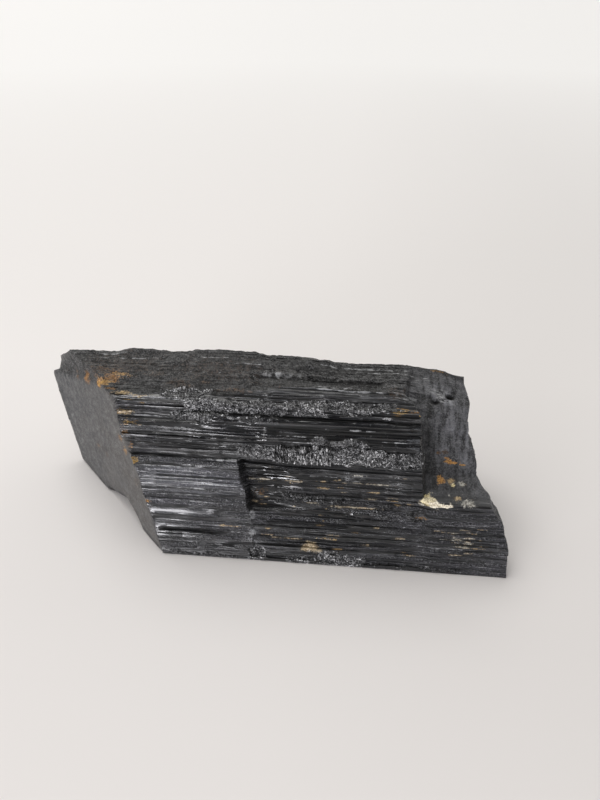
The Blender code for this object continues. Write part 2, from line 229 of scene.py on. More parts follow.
# Crumbled bands: (along from, to, round from, to, strength, brightness of the painted glints and pale
# bits).
CRUMBLE = (
    (30, 62, 40.6, 46.2, 0.62, 0.9),
    (42, 70, 40.2, 46.4, 0.85, 1),
    (62, 86, 40.4, 46.4, 0.75, 0.9),
    (80, 101, 40, 45.6, 0.55, 0.7),
    (56, 80, 45.4, 49.4, 0.55, 0.65),
    (8, 44, 57.2, 63, 0.8, 1),
    (34, 64, 58, 64.4, 0.56, 0.9),
    (56, 80, 59, 65, 0.54, 0.86),
    (72, 91, 60.4, 65.6, 0.48, 0.8),
    (-3, 16, 62.6, 69, 0.62, 1),
    (0, 19, 53.6, 57.4, 0.66, 1),
    (24, 42, 54.4, 57.4, 0.3, 0.5),
    (44, 76, 23, 27.6, 0.28, 0.4),
    (-4, 35, -1, 1.8, 0.25, 0.5),
    (34.5, 42, -1, 5, 0.55, 0.85),
    (48, 60, -1, 2.4, 0.42, 0.7),
    (63, 77, -1, 5.2, 0.72, 0.85),
    (74, 140, -1, 2.6, 0.16, 0.45),
    (82, 102, 19, 27, 0.22, 0.4),
    (101, 114, 72.5, 80, 0.1, 0.5),
    (4, 60, 74, 93, -0.1, 0.4),
)
# Where the fine ribs are flatter: (along from, to, round from, to, share that stays).
CALM = (
    (16, 101, 46.8, 57, 0.4),
    (18, 46, 53.4, 57.6, 0.45),
    (-70, 16, 40, 62, 1.05),
    (-24, 40, 0, 10, 0.45),
    (99, 140, 0, 31, 0.5),
)
# Where the stone is glossy black: (along from, to, round from, to).
GLOSS = (
    (10, 101, 46.8, 57.2),
    (34, 60, 26, 38),
    (34, 98, 16, 22),
)
# A dull bluish film, patchy: (along from, to, round from, to, strength).
FILM = (
    (-70, 34, 3, 39.5, 0.5),
    (-70, 35, 20, 24.6, 0.95),
    (100, 140, 0, 26, 0.66),
    (34, 100, 0, 20, 0.42),
    (46, 100, 20, 28, 0.4),
    (84, 104, 14, 27, 0.7),
    (-70, -4, 40, 62, 0.45),
)
# Broad soft patches, darker or lighter: painted shade and painted light, partly the stone's own tone:
# (along, around, length, width, gain).
PAINTED_LIGHT_AND_SHADE = (
    (66, 52, 66, 9, 0.4),
    (43, 33, 16, 10, 0.35),
    (42, 25, 14, 6, 0.8),
    (70, 24, 50, 3, 0.55),
    (103.6, 46, 4, 26, 0.62),
    (112, 34, 22, 14, 0.5),
    (110, 60, 12, 26, 1.25),
    (121, 52, 6, 34, 1.5),
    (108, 77, 12, 10, 2.4),
    (72, 80, 50, 9, 1.5),
    (106, 72, 3.4, 3.6, 0.2),
    (112, 77.2, 3.6, 3.6, 0.15),
    (10, 31, 52, 11, 2.5),
    (66, 12, 60, 16, 0.75),
    (4, 22, 30, 5, 1.3),
    (14, 5, 44, 9, 0.55),
    (112, 12, 24, 20, 0.7),
    (42, 80, 22, 7, 2),
    (60, 72, 20, 3.4, 2.8),
    (78, 68.8, 28, 2.6, 3),
    (92, 74, 12, 8, 1.9),
    (20, 86, 26, 9, 0.5),
    (70, 86, 44, 5, 0.4),
    (-30, 76, 34, 14, 0.9),
)
# Thin pale lines, painted highlights where ribs and edges catch the light: (along, around, length, width,
# strength).
PAINTED_HIGHLIGHT_STREAKS = (
    (2, 35.6, 30, 0.35, 0.7),
    (8, 34, 40, 0.3, 0.8),
    (14, 32.6, 34, 0.3, 0.75),
    (6, 31.4, 38, 0.3, 0.85),
    (4, 30.1, 36, 0.45, 0.95),
    (18, 29.2, 26, 0.35, 0.85),
    (8, 27.4, 34, 0.3, 0.7),
    (4, 24.6, 36, 0.3, 0.65),
    (10, 22.2, 30, 0.3, 0.6),
    (-3, 58.7, 28, 0.5, 0.9),
    (-14, 60.2, 16, 0.45, 0.9),
    (-8, 55, 20, 0.4, 0.7),
    (4, 51, 30, 0.35, 0.5),
    (-12, 47.2, 9, 0.7, 1),
    (-2, 44.6, 14, 0.35, 0.6),
    (44, 50.3, 26, 0.35, 0.7),
    (70, 53.6, 26, 0.35, 0.6),
    (60, 47.9, 34, 0.35, 0.6),
    (88, 50, 18, 0.35, 0.6),
    (24, 39.2, 14, 1.2, 0.8),
    (99.4, 60, 0.7, 9, 0.9),
    (75, 89, 44, 0.9, 0.72),
    (86, 86.4, 30, 0.7, 0.62),
    (60, 72.4, 18, 1.2, 0.75),
    (72, 70.8, 26, 1, 0.75),
    (84, 68.4, 20, 0.9, 0.75),
    (64, 74.6, 20, 0.6, 0.62),
    (94, 71.5, 12, 2.6, 0.5),
    (42, 80, 18, 2.6, 0.48),
    (28, 84.6, 22, 0.6, 0.62),
    (14, 88, 18, 0.5, 0.6),
    (-22, 88, 32, 0.6, 0.6),
    (-34, 91, 24, 0.5, 0.62),
    (6, 79, 26, 0.5, 0.55),
    (109, 76, 7, 8, 0.52),
    (101.6, 42, 0.5, 12, 0.7),
    (35.4, 14.5, 1.8, 13, 0.38),
    (37, 6, 1.8, 10, 0.4),
    (66, 34.4, 22, 0.35, 0.6),
    (84, 20.8, 20, 0.35, 0.5),
    (116, 19.4, 20, 0.4, 0.5),
    (112, 10.2, 24, 0.35, 0.5),
)
GRAIN_SEED = 17
GRAIN_COUNT = 9000
GRAIN_HALF = (0.1, 0.46)      # half sizes, most of them near the smaller
HACKLE = (43, 65, 40.5, 46.8)        # the part of the bright band broken across the crystal
HACKLE_SHARE = 0.6
HACKLE_HALF = (0.16, 0.7, 0.7)
HACKLE_SIZES = (0.7, 1.4)
HACKLE_TURN = 0.3
GRAINS_FROM = 0.3               # grains lie where the stone is crumbled at least this much
GRAIN_MOSTLY_SMALL = 1.6
GRAIN_SHAPE = (1.0, 0.8, 0.8)
GRAIN_SHIFT = 0.4
GRAIN_TURN = 3.14
GRAIN_CORNERS = (0.6, 1.2)
GRAIN_PROUD = (-0.2, 0.12)
GRAIN_TONE = 0.76
GRAIN_CLUMPS = 0.4
CUBE_FACES = ((0, 1, 3, 2), (4, 6, 7, 5), (0, 4, 5, 1), (2, 3, 7, 6), (0, 2, 6, 4), (1, 5, 7, 3))
# Stains and inclusions, flat in the stone: (along, around, length, width, strength, hue). A hue of 0
# is brown, 0.3 orange, 0.6 tan and 1 cream.
STAINS = (
    (-28.2, 70.6, 6.4, 3, 1.45, 0.42),
    (-26, 73, 9, 5, 0.95, 0.28),
    (-30, 78, 14, 8, 0.58, 0.2),
    (-23, 75, 12, 4.6, 0.66, 0.4),
    (-26, 82, 40, 20, 0.42, 0.02),
    (16, 80, 44, 16, 0.4, 0.02),
    (-18.3, 64.6, 8, 2.8, 0.74, 0.56),
    (-12.5, 63.2, 8, 1.4, 0.66, 0.5),
    (-24, 66.4, 6, 1.6, 0.6, 0.3),
    (2, 71, 14, 6, 0.45, 0.12),
    (26, 68.6, 12, 2, 0.5, 0.18),
    (-18, 56.2, 6, 2.6, 0.78, 0.58),
    (-15, 52, 6, 1, 0.7, 0.45),
    (-17, 48, 3, 3, 0.6, 0.3),
    (-9, 76, 11, 4, 0.4, 0.15),
    (14, 72.6, 9, 1.8, 0.45, 0.2),
    (42, 72.4, 5, 2.6, 1.25, 0.29),
    (89.5, 72, 8, 9, 0.45, 0.08),
    (90.5, 61.3, 5.5, 0.9, 0.8, 0.5),
    (96, 62, 5, 1.2, 0.5, 0.3),
    (38, 31.6, 9, 0.8, 1, 0.8),
    (50, 32, 9, 0.7, 0.9, 0.75),
    (35.6, 22.6, 3, 0.8, 1, 0.66),
    (37, 26.5, 7, 4, 0.4, 0.2),
    (63, 29.8, 4.6, 1, 0.9, 0.55),
    (58.5, 23.9, 8, 0.7, 0.8, 0.75),
    (76, 23, 22, 0.7, 0.9, 0.75),
    (26, 13.1, 10, 0.8, 0.9, 0.6),
    (49, 9.5, 11, 0.7, 0.9, 0.7),
    (58.6, 6.7, 7.5, 3.6, 0.85, 0.66),
    (62.6, 5, 4, 1.4, 0.6, 0.74),
    (66.5, 10.6, 8, 0.8, 0.6, 0.55),
    (76, 36, 5.5, 1.1, 0.8, 0.85),
    (80, 32.8, 19, 0.6, 0.66, 0.8),
    (107.2, 27.2, 8.4, 2.4, 1.6, 1),
    (103.4, 28, 4.6, 2.8, 1.5, 0.96),
    (102.8, 29.4, 2.2, 1.2, 1, 0.93),
    (100.6, 26.6, 3, 1.2, 0.8, 0.8),
    (113.2, 41, 6.6, 2.4, 1.05, 0.34),
    (117, 40, 3.6, 1.3, 1, 0.38),
    (111, 43, 2, 1.4, 0.8, 0.3),
    (107.6, 45.6, 2, 1.6, 0.7, 0.22),
    (110.1, 46.4, 2.4, 2, 0.8, 0.1),
    (108.4, 32.9, 2.9, 1.9, 1.05, 0.35),
    (112.8, 33, 2.4, 1.4, 0.9, 0.56),
    (113.4, 32, 1.6, 0.9, 1, 0.93),
    (116.8, 32.3, 2.8, 1, 0.9, 0.85),
    (111.6, 29.9, 2.2, 1, 0.95, 0.85),
    (114.9, 29.4, 3, 1.1, 1, 0.6),
    (118.4, 28.4, 6, 2.4, 0.62, 0.85),
    (100.3, 21.2, 5, 1.6, 0.6, 0.35),
    (112.5, 13.8, 7, 0.6, 0.8, 0.85),
    (120.5, 12.8, 8, 0.6, 0.8, 0.85),
    (118, 15, 10, 0.5, 0.7, 0.85),
    (115, 7.7, 5, 0.6, 0.8, 0.7),
    (108.5, 92, 7, 1, 0.6, 0.4),
    (-12.5, 37.3, 2.6, 2.4, 0.8, 0.45),
    (-6.8, 21.3, 3, 1.6, 0.8, 0.35),
    (-14.5, 43, 2.4, 3, 0.6, 0.3),
)
# The same on the left end, at (deep, up).
LEFT_STAINS = (
    (49.5, 48.8, 8, 3, 1.2, 0.28),
    (57, 45.8, 6, 1.6, 0.7, 0.22),
    (42, 53, 7, 3, 1.15, 0.4),
    (45, 55, 10, 5, 0.6, 0.24),
    (66, 41.6, 4, 1.4, 0.5, 0.14),
    (40.5, 19.6, 2.2, 1.8, 0.7, 0.26),
    (34.8, 19.5, 3, 1.2, 0.5, 0.16),
    (26.9, 36, 2.2, 5, 0.6, 0.3),
    (23.6, 32.4, 2.2, 4, 0.6, 0.36),
    (16.5, 22, 2.2, 7, 0.35, 0.2),
)
# Thin pale flecks strewn along the ribs: (along from, to, round from, to, how many, hue).
FLECKS = (
    (106, 125, 9, 18.5, 22, 0.8),
    (36, 99, 21, 38, 22, 0.7),
    (38, 100, 5, 20, 14, 0.68),
    (-19, -8, 50, 65, 16, 0.58),
    (88, 99, 58, 64, 7, 0.5),
)
FLECK_SEED = 5
FLECK_LENGTH = (1.2, 5)
FLECK_WIDTH = 0.42
FLECK_STRENGTH = (0.7, 1.1)
FLECK_HUE = (-0.08, 0.08)
STAIN_COLOURS = (
    (0, (0.05, 0.028, 0.016)),
    (0.15, (0.085, 0.05, 0.026)),
    (0.25, (0.15, 0.074, 0.026)),
    (0.34, (0.48, 0.24, 0.055)),
    (0.45, (0.36, 0.225, 0.06)),
    (0.62, (0.46, 0.35, 0.2)),
    (0.85, (0.48, 0.47, 0.42)),
    (0.93, (0.86, 0.74, 0.4)),
    (1, (0.96, 0.89, 0.72)),
)
# Noises laid over the stone: (cell length along it, cell width round it, seed).
LEDGE_WAVES = (7, 9, 71)
UNEVEN_CELLS = (9, 5, 5)
FILM_CELLS = (1.9, 0.8, 137)
GRAIN_CELLS = (1.6, 1.2, 131)
FINE_GRAIN_CELLS = (0.9, 0.6, 133)
SCAR_CELLS = (6, 4, 135)
SCAR_BLUR_CELLS = (3, 2, 139)
CRUMBLE_SHIFTS = (4, 2, 101)
CRUMBLE_WAVES = (3, 3, 103)
CRUMBLE_PATCHES = (5.5, 2.4, 105)
CRUMBLE_SMALL_PATCHES = (2.2, 1.2, 107)
CRUMBLE_LUMPS = (1.7, 1.3, 111)
CRUMBLE_BITS = (0.9, 0.7, 113)
FILM_PATCHES = (20, 1.1, 151)
FILM_SMALL_PATCHES = (7, 0.7, 153)
SHADE_CELLS = (4, 1.5, 161)
DUST_BORDER_CELLS = (5, 4, 121)
STAIN_SMALL_CELLS = (1.6, 0.8, 141)
STAIN_CELLS = (3, 2, 143)
LEFT_END_CELLS = (14, 12, 23)
LEFT_END_SMALL_CELLS = (4, 1.2, 25)
LEFT_END_BITS = (1, 1, 27)
GRAIN_CLUMP_CELLS = (3, 1.6, 171)

# Soft edges of the places above, along the crystal and round it.
CALM_EDGES = (6, 2)
GLOSS_EDGES = (14, 2.5)
CRUMBLE_EDGES = (7, 2.2)
FILM_EDGES = (6, 2)

LEDGE_WAVE = 0.5
LEDGE_CRISPER = 0.7
BACK_CALM = 0.8                 # how much flatter the back is near the left end
BACK_CALM_FROM = 92
BACK_CALM_EDGE = 4
BACK_CALM_END = 14
BACK_CALM_END_EDGE = 10
RIBS_UNDER_DUST = 0.4           # how much flatter the dust makes the broad ribs, and the fine ones
FINE_UNDER_DUST = 0.65
FILM_GRAIN = 0.16
DUST_GRAIN = 0.26
SCAR_UNEVEN = 0.5
SCAR_MASK_EDGE = 4
SCAR_TOP = 64                   # the scar has no wall from here round
SCAR_TOP_EDGE = 8
SCAR_TOP_WIDTH = 14
SCAR_TOP_BLUR = 2
DUST_BORDER = ((-60, 61.5), (20, 63.5), (48, 70.5), (92, 71.5), (100, 66))
DUST_EDGE = 2.5
DUST_BACK = 98
DUST_BACK_EDGE = 4
LEAST_UNDER = 0.3
# Hollows found this way are painted dark as shade.
HOLLOW_REACH = 4                # a cavity is lower than the mean of this many rows to either side
FULL_HOLLOW_SHADE = 0.35
FULL_CREST_HIGHLIGHT = 0.3
MASKS = ("crumble", "sparkle", "dust", "scar", "matte", "tone", "cavity", "crest", "stain", "hue",
         "film", "polish", "gloss", "streak", "shade")


# ---------------------------------------------------------------- curves and noise
def smooth_step(x):
    x = np.clip(x, 0.0, 1.0)
    return x * x * (3.0 - 2.0 * x)


def read_curve(points, x):
    """Height at x of the line through (x, height) points."""
    points = np.array(points)
    return np.interp(x, points[:, 0], points[:, 1])


def hash_noise(cells, seed):
    """A fixed number from 0 to 1 for each whole-number cell."""
    value = np.sin(cells * 127.1 + seed * 311.7) * 43758.5453
    return value - np.floor(value)


def hash_noise_2d(x_cells, y_cells, seed):
    return hash_noise(x_cells + 57.0 * y_cells, seed)


def value_noise(x, y, seed):
    """Smooth noise from -1 to 1, with cells one unit wide."""
    x0 = np.floor(x)
    y0 = np.floor(y)
    fx = smooth_step(x - x0)
    fy = smooth_step(y - y0)
    low = hash_noise_2d(x0, y0, seed) * (1 - fx) + hash_noise_2d(x0 + 1, y0, seed) * fx
    high = hash_noise_2d(x0, y0 + 1, seed) * (1 - fx) + hash_noise_2d(x0 + 1, y0 + 1, seed) * fx
    return 2.0 * (low * (1 - fy) + high * fy) - 1.0


def noise(along, around, kind):
    """Smooth noise of a kind, which is (cell length, cell width, seed)."""
    length, width, seed = kind
    return value_noise(along / length, around / width, seed)


def band(value, low, high, edge):
    """1 between low and high, 0 outside, with soft edges."""
    return smooth_step((value - low) / edge + 0.5) * smooth_step((high - value) / edge + 0.5)


def within(along, around, place, edge_along, edge_round):
    """1 within a place (along from, to, round from, to), 0 outside, with soft edges."""
    return band(along, *place[:2], edge_along) * band(around, *place[2:], edge_round)


def near(x, y, spot, reach):
    """1 at the spot (x, y), falling to 0 at its reach."""
    return 1.0 - smooth_step(np.hypot(x - spot[0], y - spot[1]) / reach)


def from_spot(along, around, spot):
    """Distance from a spot (along, around, length, width), as a share of its half size."""
    spot_along, spot_around, length, width = spot
    return np.hypot((along - spot_along) / (0.5 * length), (around - spot_around) / (0.5 * width))


# ---------------------------------------------------------------- the section and the two ends
def section_rows(version):
    """Rows round the section, evenly spread between its corners, as (deep, up)."""
    corners = np.array([corner[version] for corner in SECTION.values()])
    rows = []
    for start, end, count in zip(corners, np.roll(corners, -1, axis=0), ROWS):
        rows.extend(start + (end - start) * step / count for step in range(count))
    return np.array(rows)


def round_the_section(rows):
    """Distance of each row from the front foot, up over the top and round."""
    steps = np.linalg.norm(np.roll(rows, -1, axis=0) - rows, axis=1)
    return np.concatenate(([0.0], np.cumsum(steps)[:-1]))


def outward_normals(points):
    along_edge = np.roll(points, -2, axis=0) - np.roll(points, 2, axis=0)
    normals = np.stack((-along_edge[..., 1], along_edge[..., 0]), axis=-1)
    return normals / np.linalg.norm(normals, axis=-1, keepdims=True)


def above_recess_line(deep, up):
    (deep_a, up_a), (deep_b, up_b) = LEFT_RECESS_LINE
    return up - (up_a + (up_b - up_a) / (deep_b - deep_a) * (deep - deep_a))


def left_recess(deep, up):
    above = above_recess_line(deep, up)
    fade = LEFT_RECESS_FADE * smooth_step((above - LEFT_RECESS_BACK) / LEFT_RECESS_BACK)
    return LEFT_RECESS * smooth_step(above / LEFT_RECESS_STEP) - fade


def left_chip(deep, up):
    deep_from, deep_to, chip_up, chip_along = CHIP
    middle = 0.5 * (deep_from + deep_to)
    across = np.clip(1.0 - np.abs(deep - middle) / (0.5 * (deep_to - deep_from)), 0.0, 1.0)
    top = chip_up * np.clip(1.3 * across, 0.2, 1.0)
    return chip_along * smooth_step(across * 5.0) * smooth_step(1.6 * (1.1 - up / top))


def left_plane(deep, up):
    """Where the left end is along the crystal, without its roughness."""
    return LEFT_BY_DEEP * deep + LEFT_BY_UP * up + left_recess(deep, up) + left_chip(deep, up)


def right_plane(deep, up):
    """The same for the right end."""
    step = RIGHT_STEP * smooth_step((up - RIGHT_STEP_UP) / RIGHT_STEP_EDGE + 0.5)
    lip = RIGHT_LIP_DROP * near(deep, up, RIGHT_LIP, RIGHT_LIP_REACH)
    dent = RIGHT_DENT * near(deep, up, RIGHT_DENT_AT, RIGHT_DENT_REACH)
    notch = RIGHT_NOTCH * smooth_step((deep - RIGHT_NOTCH_AT[0]) / RIGHT_NOTCH_EDGE[0] + 0.5)
    notch = notch * smooth_step((RIGHT_NOTCH_AT[1] - up) / RIGHT_NOTCH_EDGE[1] + 0.5)
    return RIGHT_FOOT + RIGHT_BY_DEEP * deep + RIGHT_BY_UP * up - step - lip - dent - notch


def jag(around):
    """How far each narrow strip's broken ends are shifted along the crystal."""
    return JAG * (hash_noise(np.floor(around / JAG_WIDTH), JAG_SEED) - 0.5)


def left_rim(deep, up, around):
    """Where the rows start, with ragged steps below and small ones on the top."""
    steps = LEFT_RAGGED * hash_noise(np.floor(around / RAGGED_WIDTH), LEFT_RAGGED_SEED)
    steps += RIM_JAG * np.abs(jag(around))
    start = left_plane(deep, up) + np.where(around < LEFT_RAGGED_ROUND, steps, 0.0)
    on_top = LEFT_TOP_RAGGED * band(around, *LEFT_TOP_ROUND, LEFT_TOP_EDGE)
    start = start + on_top * value_noise(around / LEFT_TOP_STEP, np.zeros_like(around), LEFT_TOP_SEED)
    return start - read_curve(LEFT_RIM, around)


def right_rim(deep, up, around):
    """Where the rows end, with ragged steps that are smaller across the scar."""
    ragged = 1.0 - SCAR_SMOOTHER * band(around, *SCAR_ROUND, SCAR_ROUND_EDGE)
    steps = ragged * hash_noise(np.floor(around / RAGGED_WIDTH), RIGHT_RAGGED_SEED)
    steps = RIGHT_RAGGED * (steps + (1.0 - ragged) * SCAR_RAGGED_LEVEL)
    return right_plane(deep, up) - (steps + RIM_JAG * ragged * np.abs(jag(around)))


def column_places(marks):
    """Places of the columns on each row, evenly spread between its marks along the crystal."""
    places = [left[:, None] + (right - left)[:, None] * np.arange(count) / count
              for left, right, count in zip(marks, marks[1:], COLUMNS)]
    return np.concatenate((*places, marks[-1][:, None]), axis=1)


def sections_along(along, scar_place):
    """The section at every place, before its relief: whole, or scarred and narrower to its end."""
    whole, scar, scar_end = (section_rows(version)[:, None] for version in range(3))
    in_scar = smooth_step((along - scar_place) / WALL_WIDTH + 0.5)[..., None]
    to_end = np.clip((along - scar_place) / (along[:, -1:] - scar_place), 0.0, 1.0)[..., None]
    scar_now = scar * (1 - to_end) + scar_end * to_end
    return whole * (1 - in_scar) + scar_now * in_scar


# ---------------------------------------------------------------- relief
def straightened(along, around):
    """Places along the crystal, shifted so that the block's slanting wall is at one mark."""
    return along - read_curve(BLOCK_WALL, around) + BLOCK_MARK + jag(around)


def layer_relief(along, around):
    relief = np.zeros_like(along)
    straight = straightened(along, around)
    wavy = around + LEDGE_WAVE * noise(along, around, LEDGE_WAVES)
    for along_from, along_to, round_from, round_to, height, edge_left, edge_right, edge_round in LAYERS:
        shape = smooth_step((straight - along_from) / edge_left + 0.5)
        shape = shape * smooth_step((along_to - straight) / edge_right + 0.5)
        relief += height * shape * band(wavy, round_from, round_to, edge_round * LEDGE_CRISPER)
    for *spot, radius, height in KNOBS:
        relief += height * near(along, around, spot, radius)
    return relief


def rib_relief(along, around):
    relief = np.zeros_like(along)
    for size, (width, height, run) in enumerate(RIBS):
        wander = RIB_WANDER * width * noise(along, around, (*RIB_WANDER_CELLS, RIB_SEED + size))
        place = (around + wander) / width
        rib = np.floor(place)
        across = 2.0 * (place - rib) - 1.0
        start = hash_noise(rib, RIB_SEED + 7 + size)
        piece = np.floor(along / run + start * 5.0)
        level = hash_noise_2d(rib, piece, RIB_SEED + 13 + size)
        relief += height * (level - 0.5) * (1.0 - across ** 4)
    return relief


def crevice_relief(along, place, size):
    """How deep the crevices cut that open here and there between the fine ribs of one size."""
    width, _, run, _ = FINE_RIBS[size]
    relief = np.zeros_like(along)
    for share, depth in CREVICES.get(size, ()):
        border = np.floor(place + 0.5)
        away = np.abs(place - border) * width
        wander = value_noise(along / (0.5 * run) + 5.0 * border, border, FINE_SEEDS["crevice"] + size)
        open_here = smooth_step((2.0 * share - 1.0 + wander) * 2.0)
        relief += depth * np.clip(1.0 - away / CREVICE_HALF, 0.0, 1.0) * open_here
    return relief


def fine_ribs(along, around):
    """Relief of the fine ribs, and a tone from 0 to 1 that wanders from rib to rib."""
    relief = np.zeros_like(along)
    tone = np.zeros_like(along)
    still = np.zeros_like(along)
    for size, (width, height, run, lean) in enumerate(FINE_RIBS):
        seeds = {name: seed + size for name, seed in FINE_SEEDS.items()}
        wander = FINE_WANDER * width * noise(along, around, (*FINE_WANDER_CELLS, seeds["wander"]))
        across_cells = around / (FINE_UNEVEN_CELL * width)
        wander += FINE_UNEVEN * width * value_noise(still, across_cells, seeds["uneven"])
        place = (around + wander) / width
        rib = np.floor(place)
        across = 2.0 * (place - rib) - 1.0
        run_place = along / run + 9.0 * hash_noise(rib, seeds["start"])
        relief += 0.5 * height * value_noise(run_place, rib, seeds["level"]) * (1.0 - across ** 6)
        tip = value_noise(run_place, rib, seeds["tip"])
        relief += lean * tip * 0.5 * width * across * (1.0 - across ** 8)
        relief -= crevice_relief(along, place, size)
        tone += (0.5 + 0.5 * value_noise(run_place, rib, seeds["tone"])) / len(FINE_RIBS)
    for *calm, share in CALM:
        relief *= 1 - (1 - share) * within(along, around, calm, *CALM_EDGES)
    return relief, tone


def smooth_ribs(along, around):
    """Where the broad smooth ribs are, and the relief of their lean."""
    mask = np.zeros_like(along)
    relief = np.zeros_like(along)
    for *rib, lean in SMOOTH_RIBS:
        shape = within(along, around, rib, *SMOOTH_RIB_EDGES)
        mask = np.maximum(mask, shape)
        relief += shape * lean * (around - 0.5 * (rib[2] + rib[3]))
    return mask, relief


def top_edge_shift(along, around):
    """How far the swell and the steps of the top back edge lift each place."""
    swell = read_curve(TOP_SWELL, along)
    edge = around[TOP_BACK_ROW]
    away = np.abs(around - edge)
    reach = np.where(around < edge, SWELL_FRONT_REACH, SWELL_BACK_REACH)
    rise = (swell - SECTION["top_back"][0][1]) * (1.0 - smooth_step(away / reach))
    return rise + (read_curve(TOP_EDGE, along) - swell) * (1.0 - smooth_step(away / STEP_REACH))


def back_calm(along, around):
    """How much the relief is flattened on the back near the left end."""
    from_top = smooth_step((around - BACK_CALM_FROM) / BACK_CALM_EDGE)
    near_end = smooth_step((along[:, :1] + BACK_CALM_END - along) / BACK_CALM_END_EDGE)
    return 1.0 - BACK_CALM * from_top * near_end


def skin_relief(along, around, masks, fine):
    """How far the skin stands out from the section at every place."""
    dust, scar, worn = masks["dust"], masks["scar"], worn_block(along, around)
    uneven = rib_relief(along, around) * (1 - scar) * (1 - RIBS_UNDER_DUST * dust)
    uneven += UNEVEN * noise(along, around, UNEVEN_CELLS)
    whole = 1 - np.maximum(masks["crumble"], scar)
    uneven += fine * whole * (1 - FINE_UNDER_DUST * dust) * (1 - WORN_BLOCK * worn)
    uneven += FILM_GRAIN * noise(along, around, FILM_CELLS) * masks["film"] * (1 - WORN_GLOSS * worn)
    polish, leaning = smooth_ribs(along, around)
    relief = layer_relief(along, around) + uneven * (1 - POLISH_FLATTER * polish) + leaning
    relief += crumble_relief(along, around) * masks["crumble"]
    relief *= back_calm(along, around)
    grain = noise(along, around, GRAIN_CELLS) + 0.6 * noise(along, around, FINE_GRAIN_CELLS)
    relief += DUST_GRAIN * grain * np.maximum(dust, 0.6 * scar)
    return relief + SCAR_UNEVEN * noise(along, around, SCAR_CELLS) * scar


# ---------------------------------------------------------------- masks
def worn_block(along, around):
    """1 on the block at the lower left, whose fine ribs are worn and glossy."""
    return within(straightened(along, around), around, BLOCK, *BLOCK_EDGES)


def gloss_mask(along, around):
    mask = WORN_GLOSS * worn_block(along, around)
    for place in GLOSS:
        mask = np.maximum(mask, within(along, around, place, *GLOSS_EDGES))
    return mask


def scar_mask(along, around, scar_place):
    """Where the scar is. On the top it has no wall: the stone there only changes slowly."""
    on_top = smooth_step((around - SCAR_TOP) / SCAR_TOP_EDGE)
    width = WALL_WIDTH + SCAR_TOP_WIDTH * on_top
    blurred = along + SCAR_TOP_BLUR * noise(along, around, SCAR_BLUR_CELLS) * on_top
    return smooth_step((blurred - scar_place) / width + 0.5) * band(around, *SCAR_ROUND, SCAR_MASK_EDGE)


def crumble_mask(along, around):
    """Where the stone has crumbled into a sugary break, and how bright its painted glints and pale bits
    are.
    """
    mask = np.zeros_like(along)
    sparkle = np.zeros_like(along)
    shifted = along + 2.5 * noise(along, around, CRUMBLE_SHIFTS)
    wavy = around + 0.9 * noise(along, around, CRUMBLE_WAVES)
    patchy = noise(along, around, CRUMBLE_PATCHES) + 0.5 * noise(along, around, CRUMBLE_SMALL_PATCHES)
    for *place, strength, brightness in CRUMBLE:
        shape = within(shifted, wavy, place, *CRUMBLE_EDGES)
        inside = smooth_step(3.0 * shape)
        shape = inside * smooth_step(1.6 * shape - 0.3 + 1.6 * (strength - 0.75) + 0.7 * patchy)
        sparkle = np.where(shape > mask, brightness, sparkle)
        mask = np.maximum(mask, shape)
    return mask, sparkle


def crumble_relief(along, around):
    return 0.3 * noise(along, around, CRUMBLE_LUMPS) + 0.25 * noise(along, around, CRUMBLE_BITS) - 0.2


def film_mask(along, around):
    """Uneven patches, stretched along the crystal, within each place of the film."""
    mask = np.zeros_like(along)
    patchy = noise(along, around, FILM_PATCHES) + 0.6 * noise(along, around, FILM_SMALL_PATCHES)
    for *place, strength in FILM:
        shape = within(along, around, place, *FILM_EDGES)
        mask = np.maximum(mask, shape * smooth_step(0.5 + 2.0 * (strength - 0.5) + 0.8 * patchy))
    return mask


def painted_light_and_shade_gain(along, around):
    """How much lighter or darker each broad patch of painted light and shade makes the stone."""
    gain = np.ones_like(along)
    ragged = 0.25 * noise(along, around, SHADE_CELLS)
    for *spot, spot_gain in PAINTED_LIGHT_AND_SHADE:
        away = from_spot(along, around, spot) + ragged
        gain *= 1.0 + (spot_gain - 1.0) * smooth_step((1.4 - away) / 0.9)
    return gain


def dust_mask(along, around):
    """The dull, dusty top, whose lower border climbs from the ridge towards the right."""
    border = read_curve(DUST_BORDER, along) + 1.4 * noise(along, around, DUST_BORDER_CELLS)
    return smooth_step((around - border) / DUST_EDGE) * smooth_step((DUST_BACK - around) / DUST_BACK_EDGE)


def strewn_flecks():
    """Each fleck as a stain: (along, around, length, width, strength, hue)."""
    draw = np.random.default_rng(FLECK_SEED)
    flecks = []
    for along_from, along_to, round_from, round_to, count, hue in FLECKS:
        for _ in range(count):
            place = (draw.uniform(along_from, along_to), draw.uniform(round_from, round_to))
            size = (draw.uniform(*FLECK_LENGTH), FLECK_WIDTH)
            flecks.append((*place, *size, draw.uniform(*FLECK_STRENGTH), hue + draw.uniform(*FLECK_HUE)))
    return flecks


def stains(along, around, places):
    """Mask and hue of small uneven patches."""
    mask = np.zeros_like(along)
    hue = np.zeros_like(along)
    ragged = 0.45 * noise(along, around, STAIN_SMALL_CELLS) + 0.35 * noise(along, around, STAIN_CELLS)
    for *spot, strength, spot_hue in places:
        patch = strength * smooth_step((1.35 + ragged - from_spot(along, around, spot)) / 0.9)
        hue = np.where(patch > mask, spot_hue, hue)
        mask = np.maximum(mask, patch)
    return mask, hue


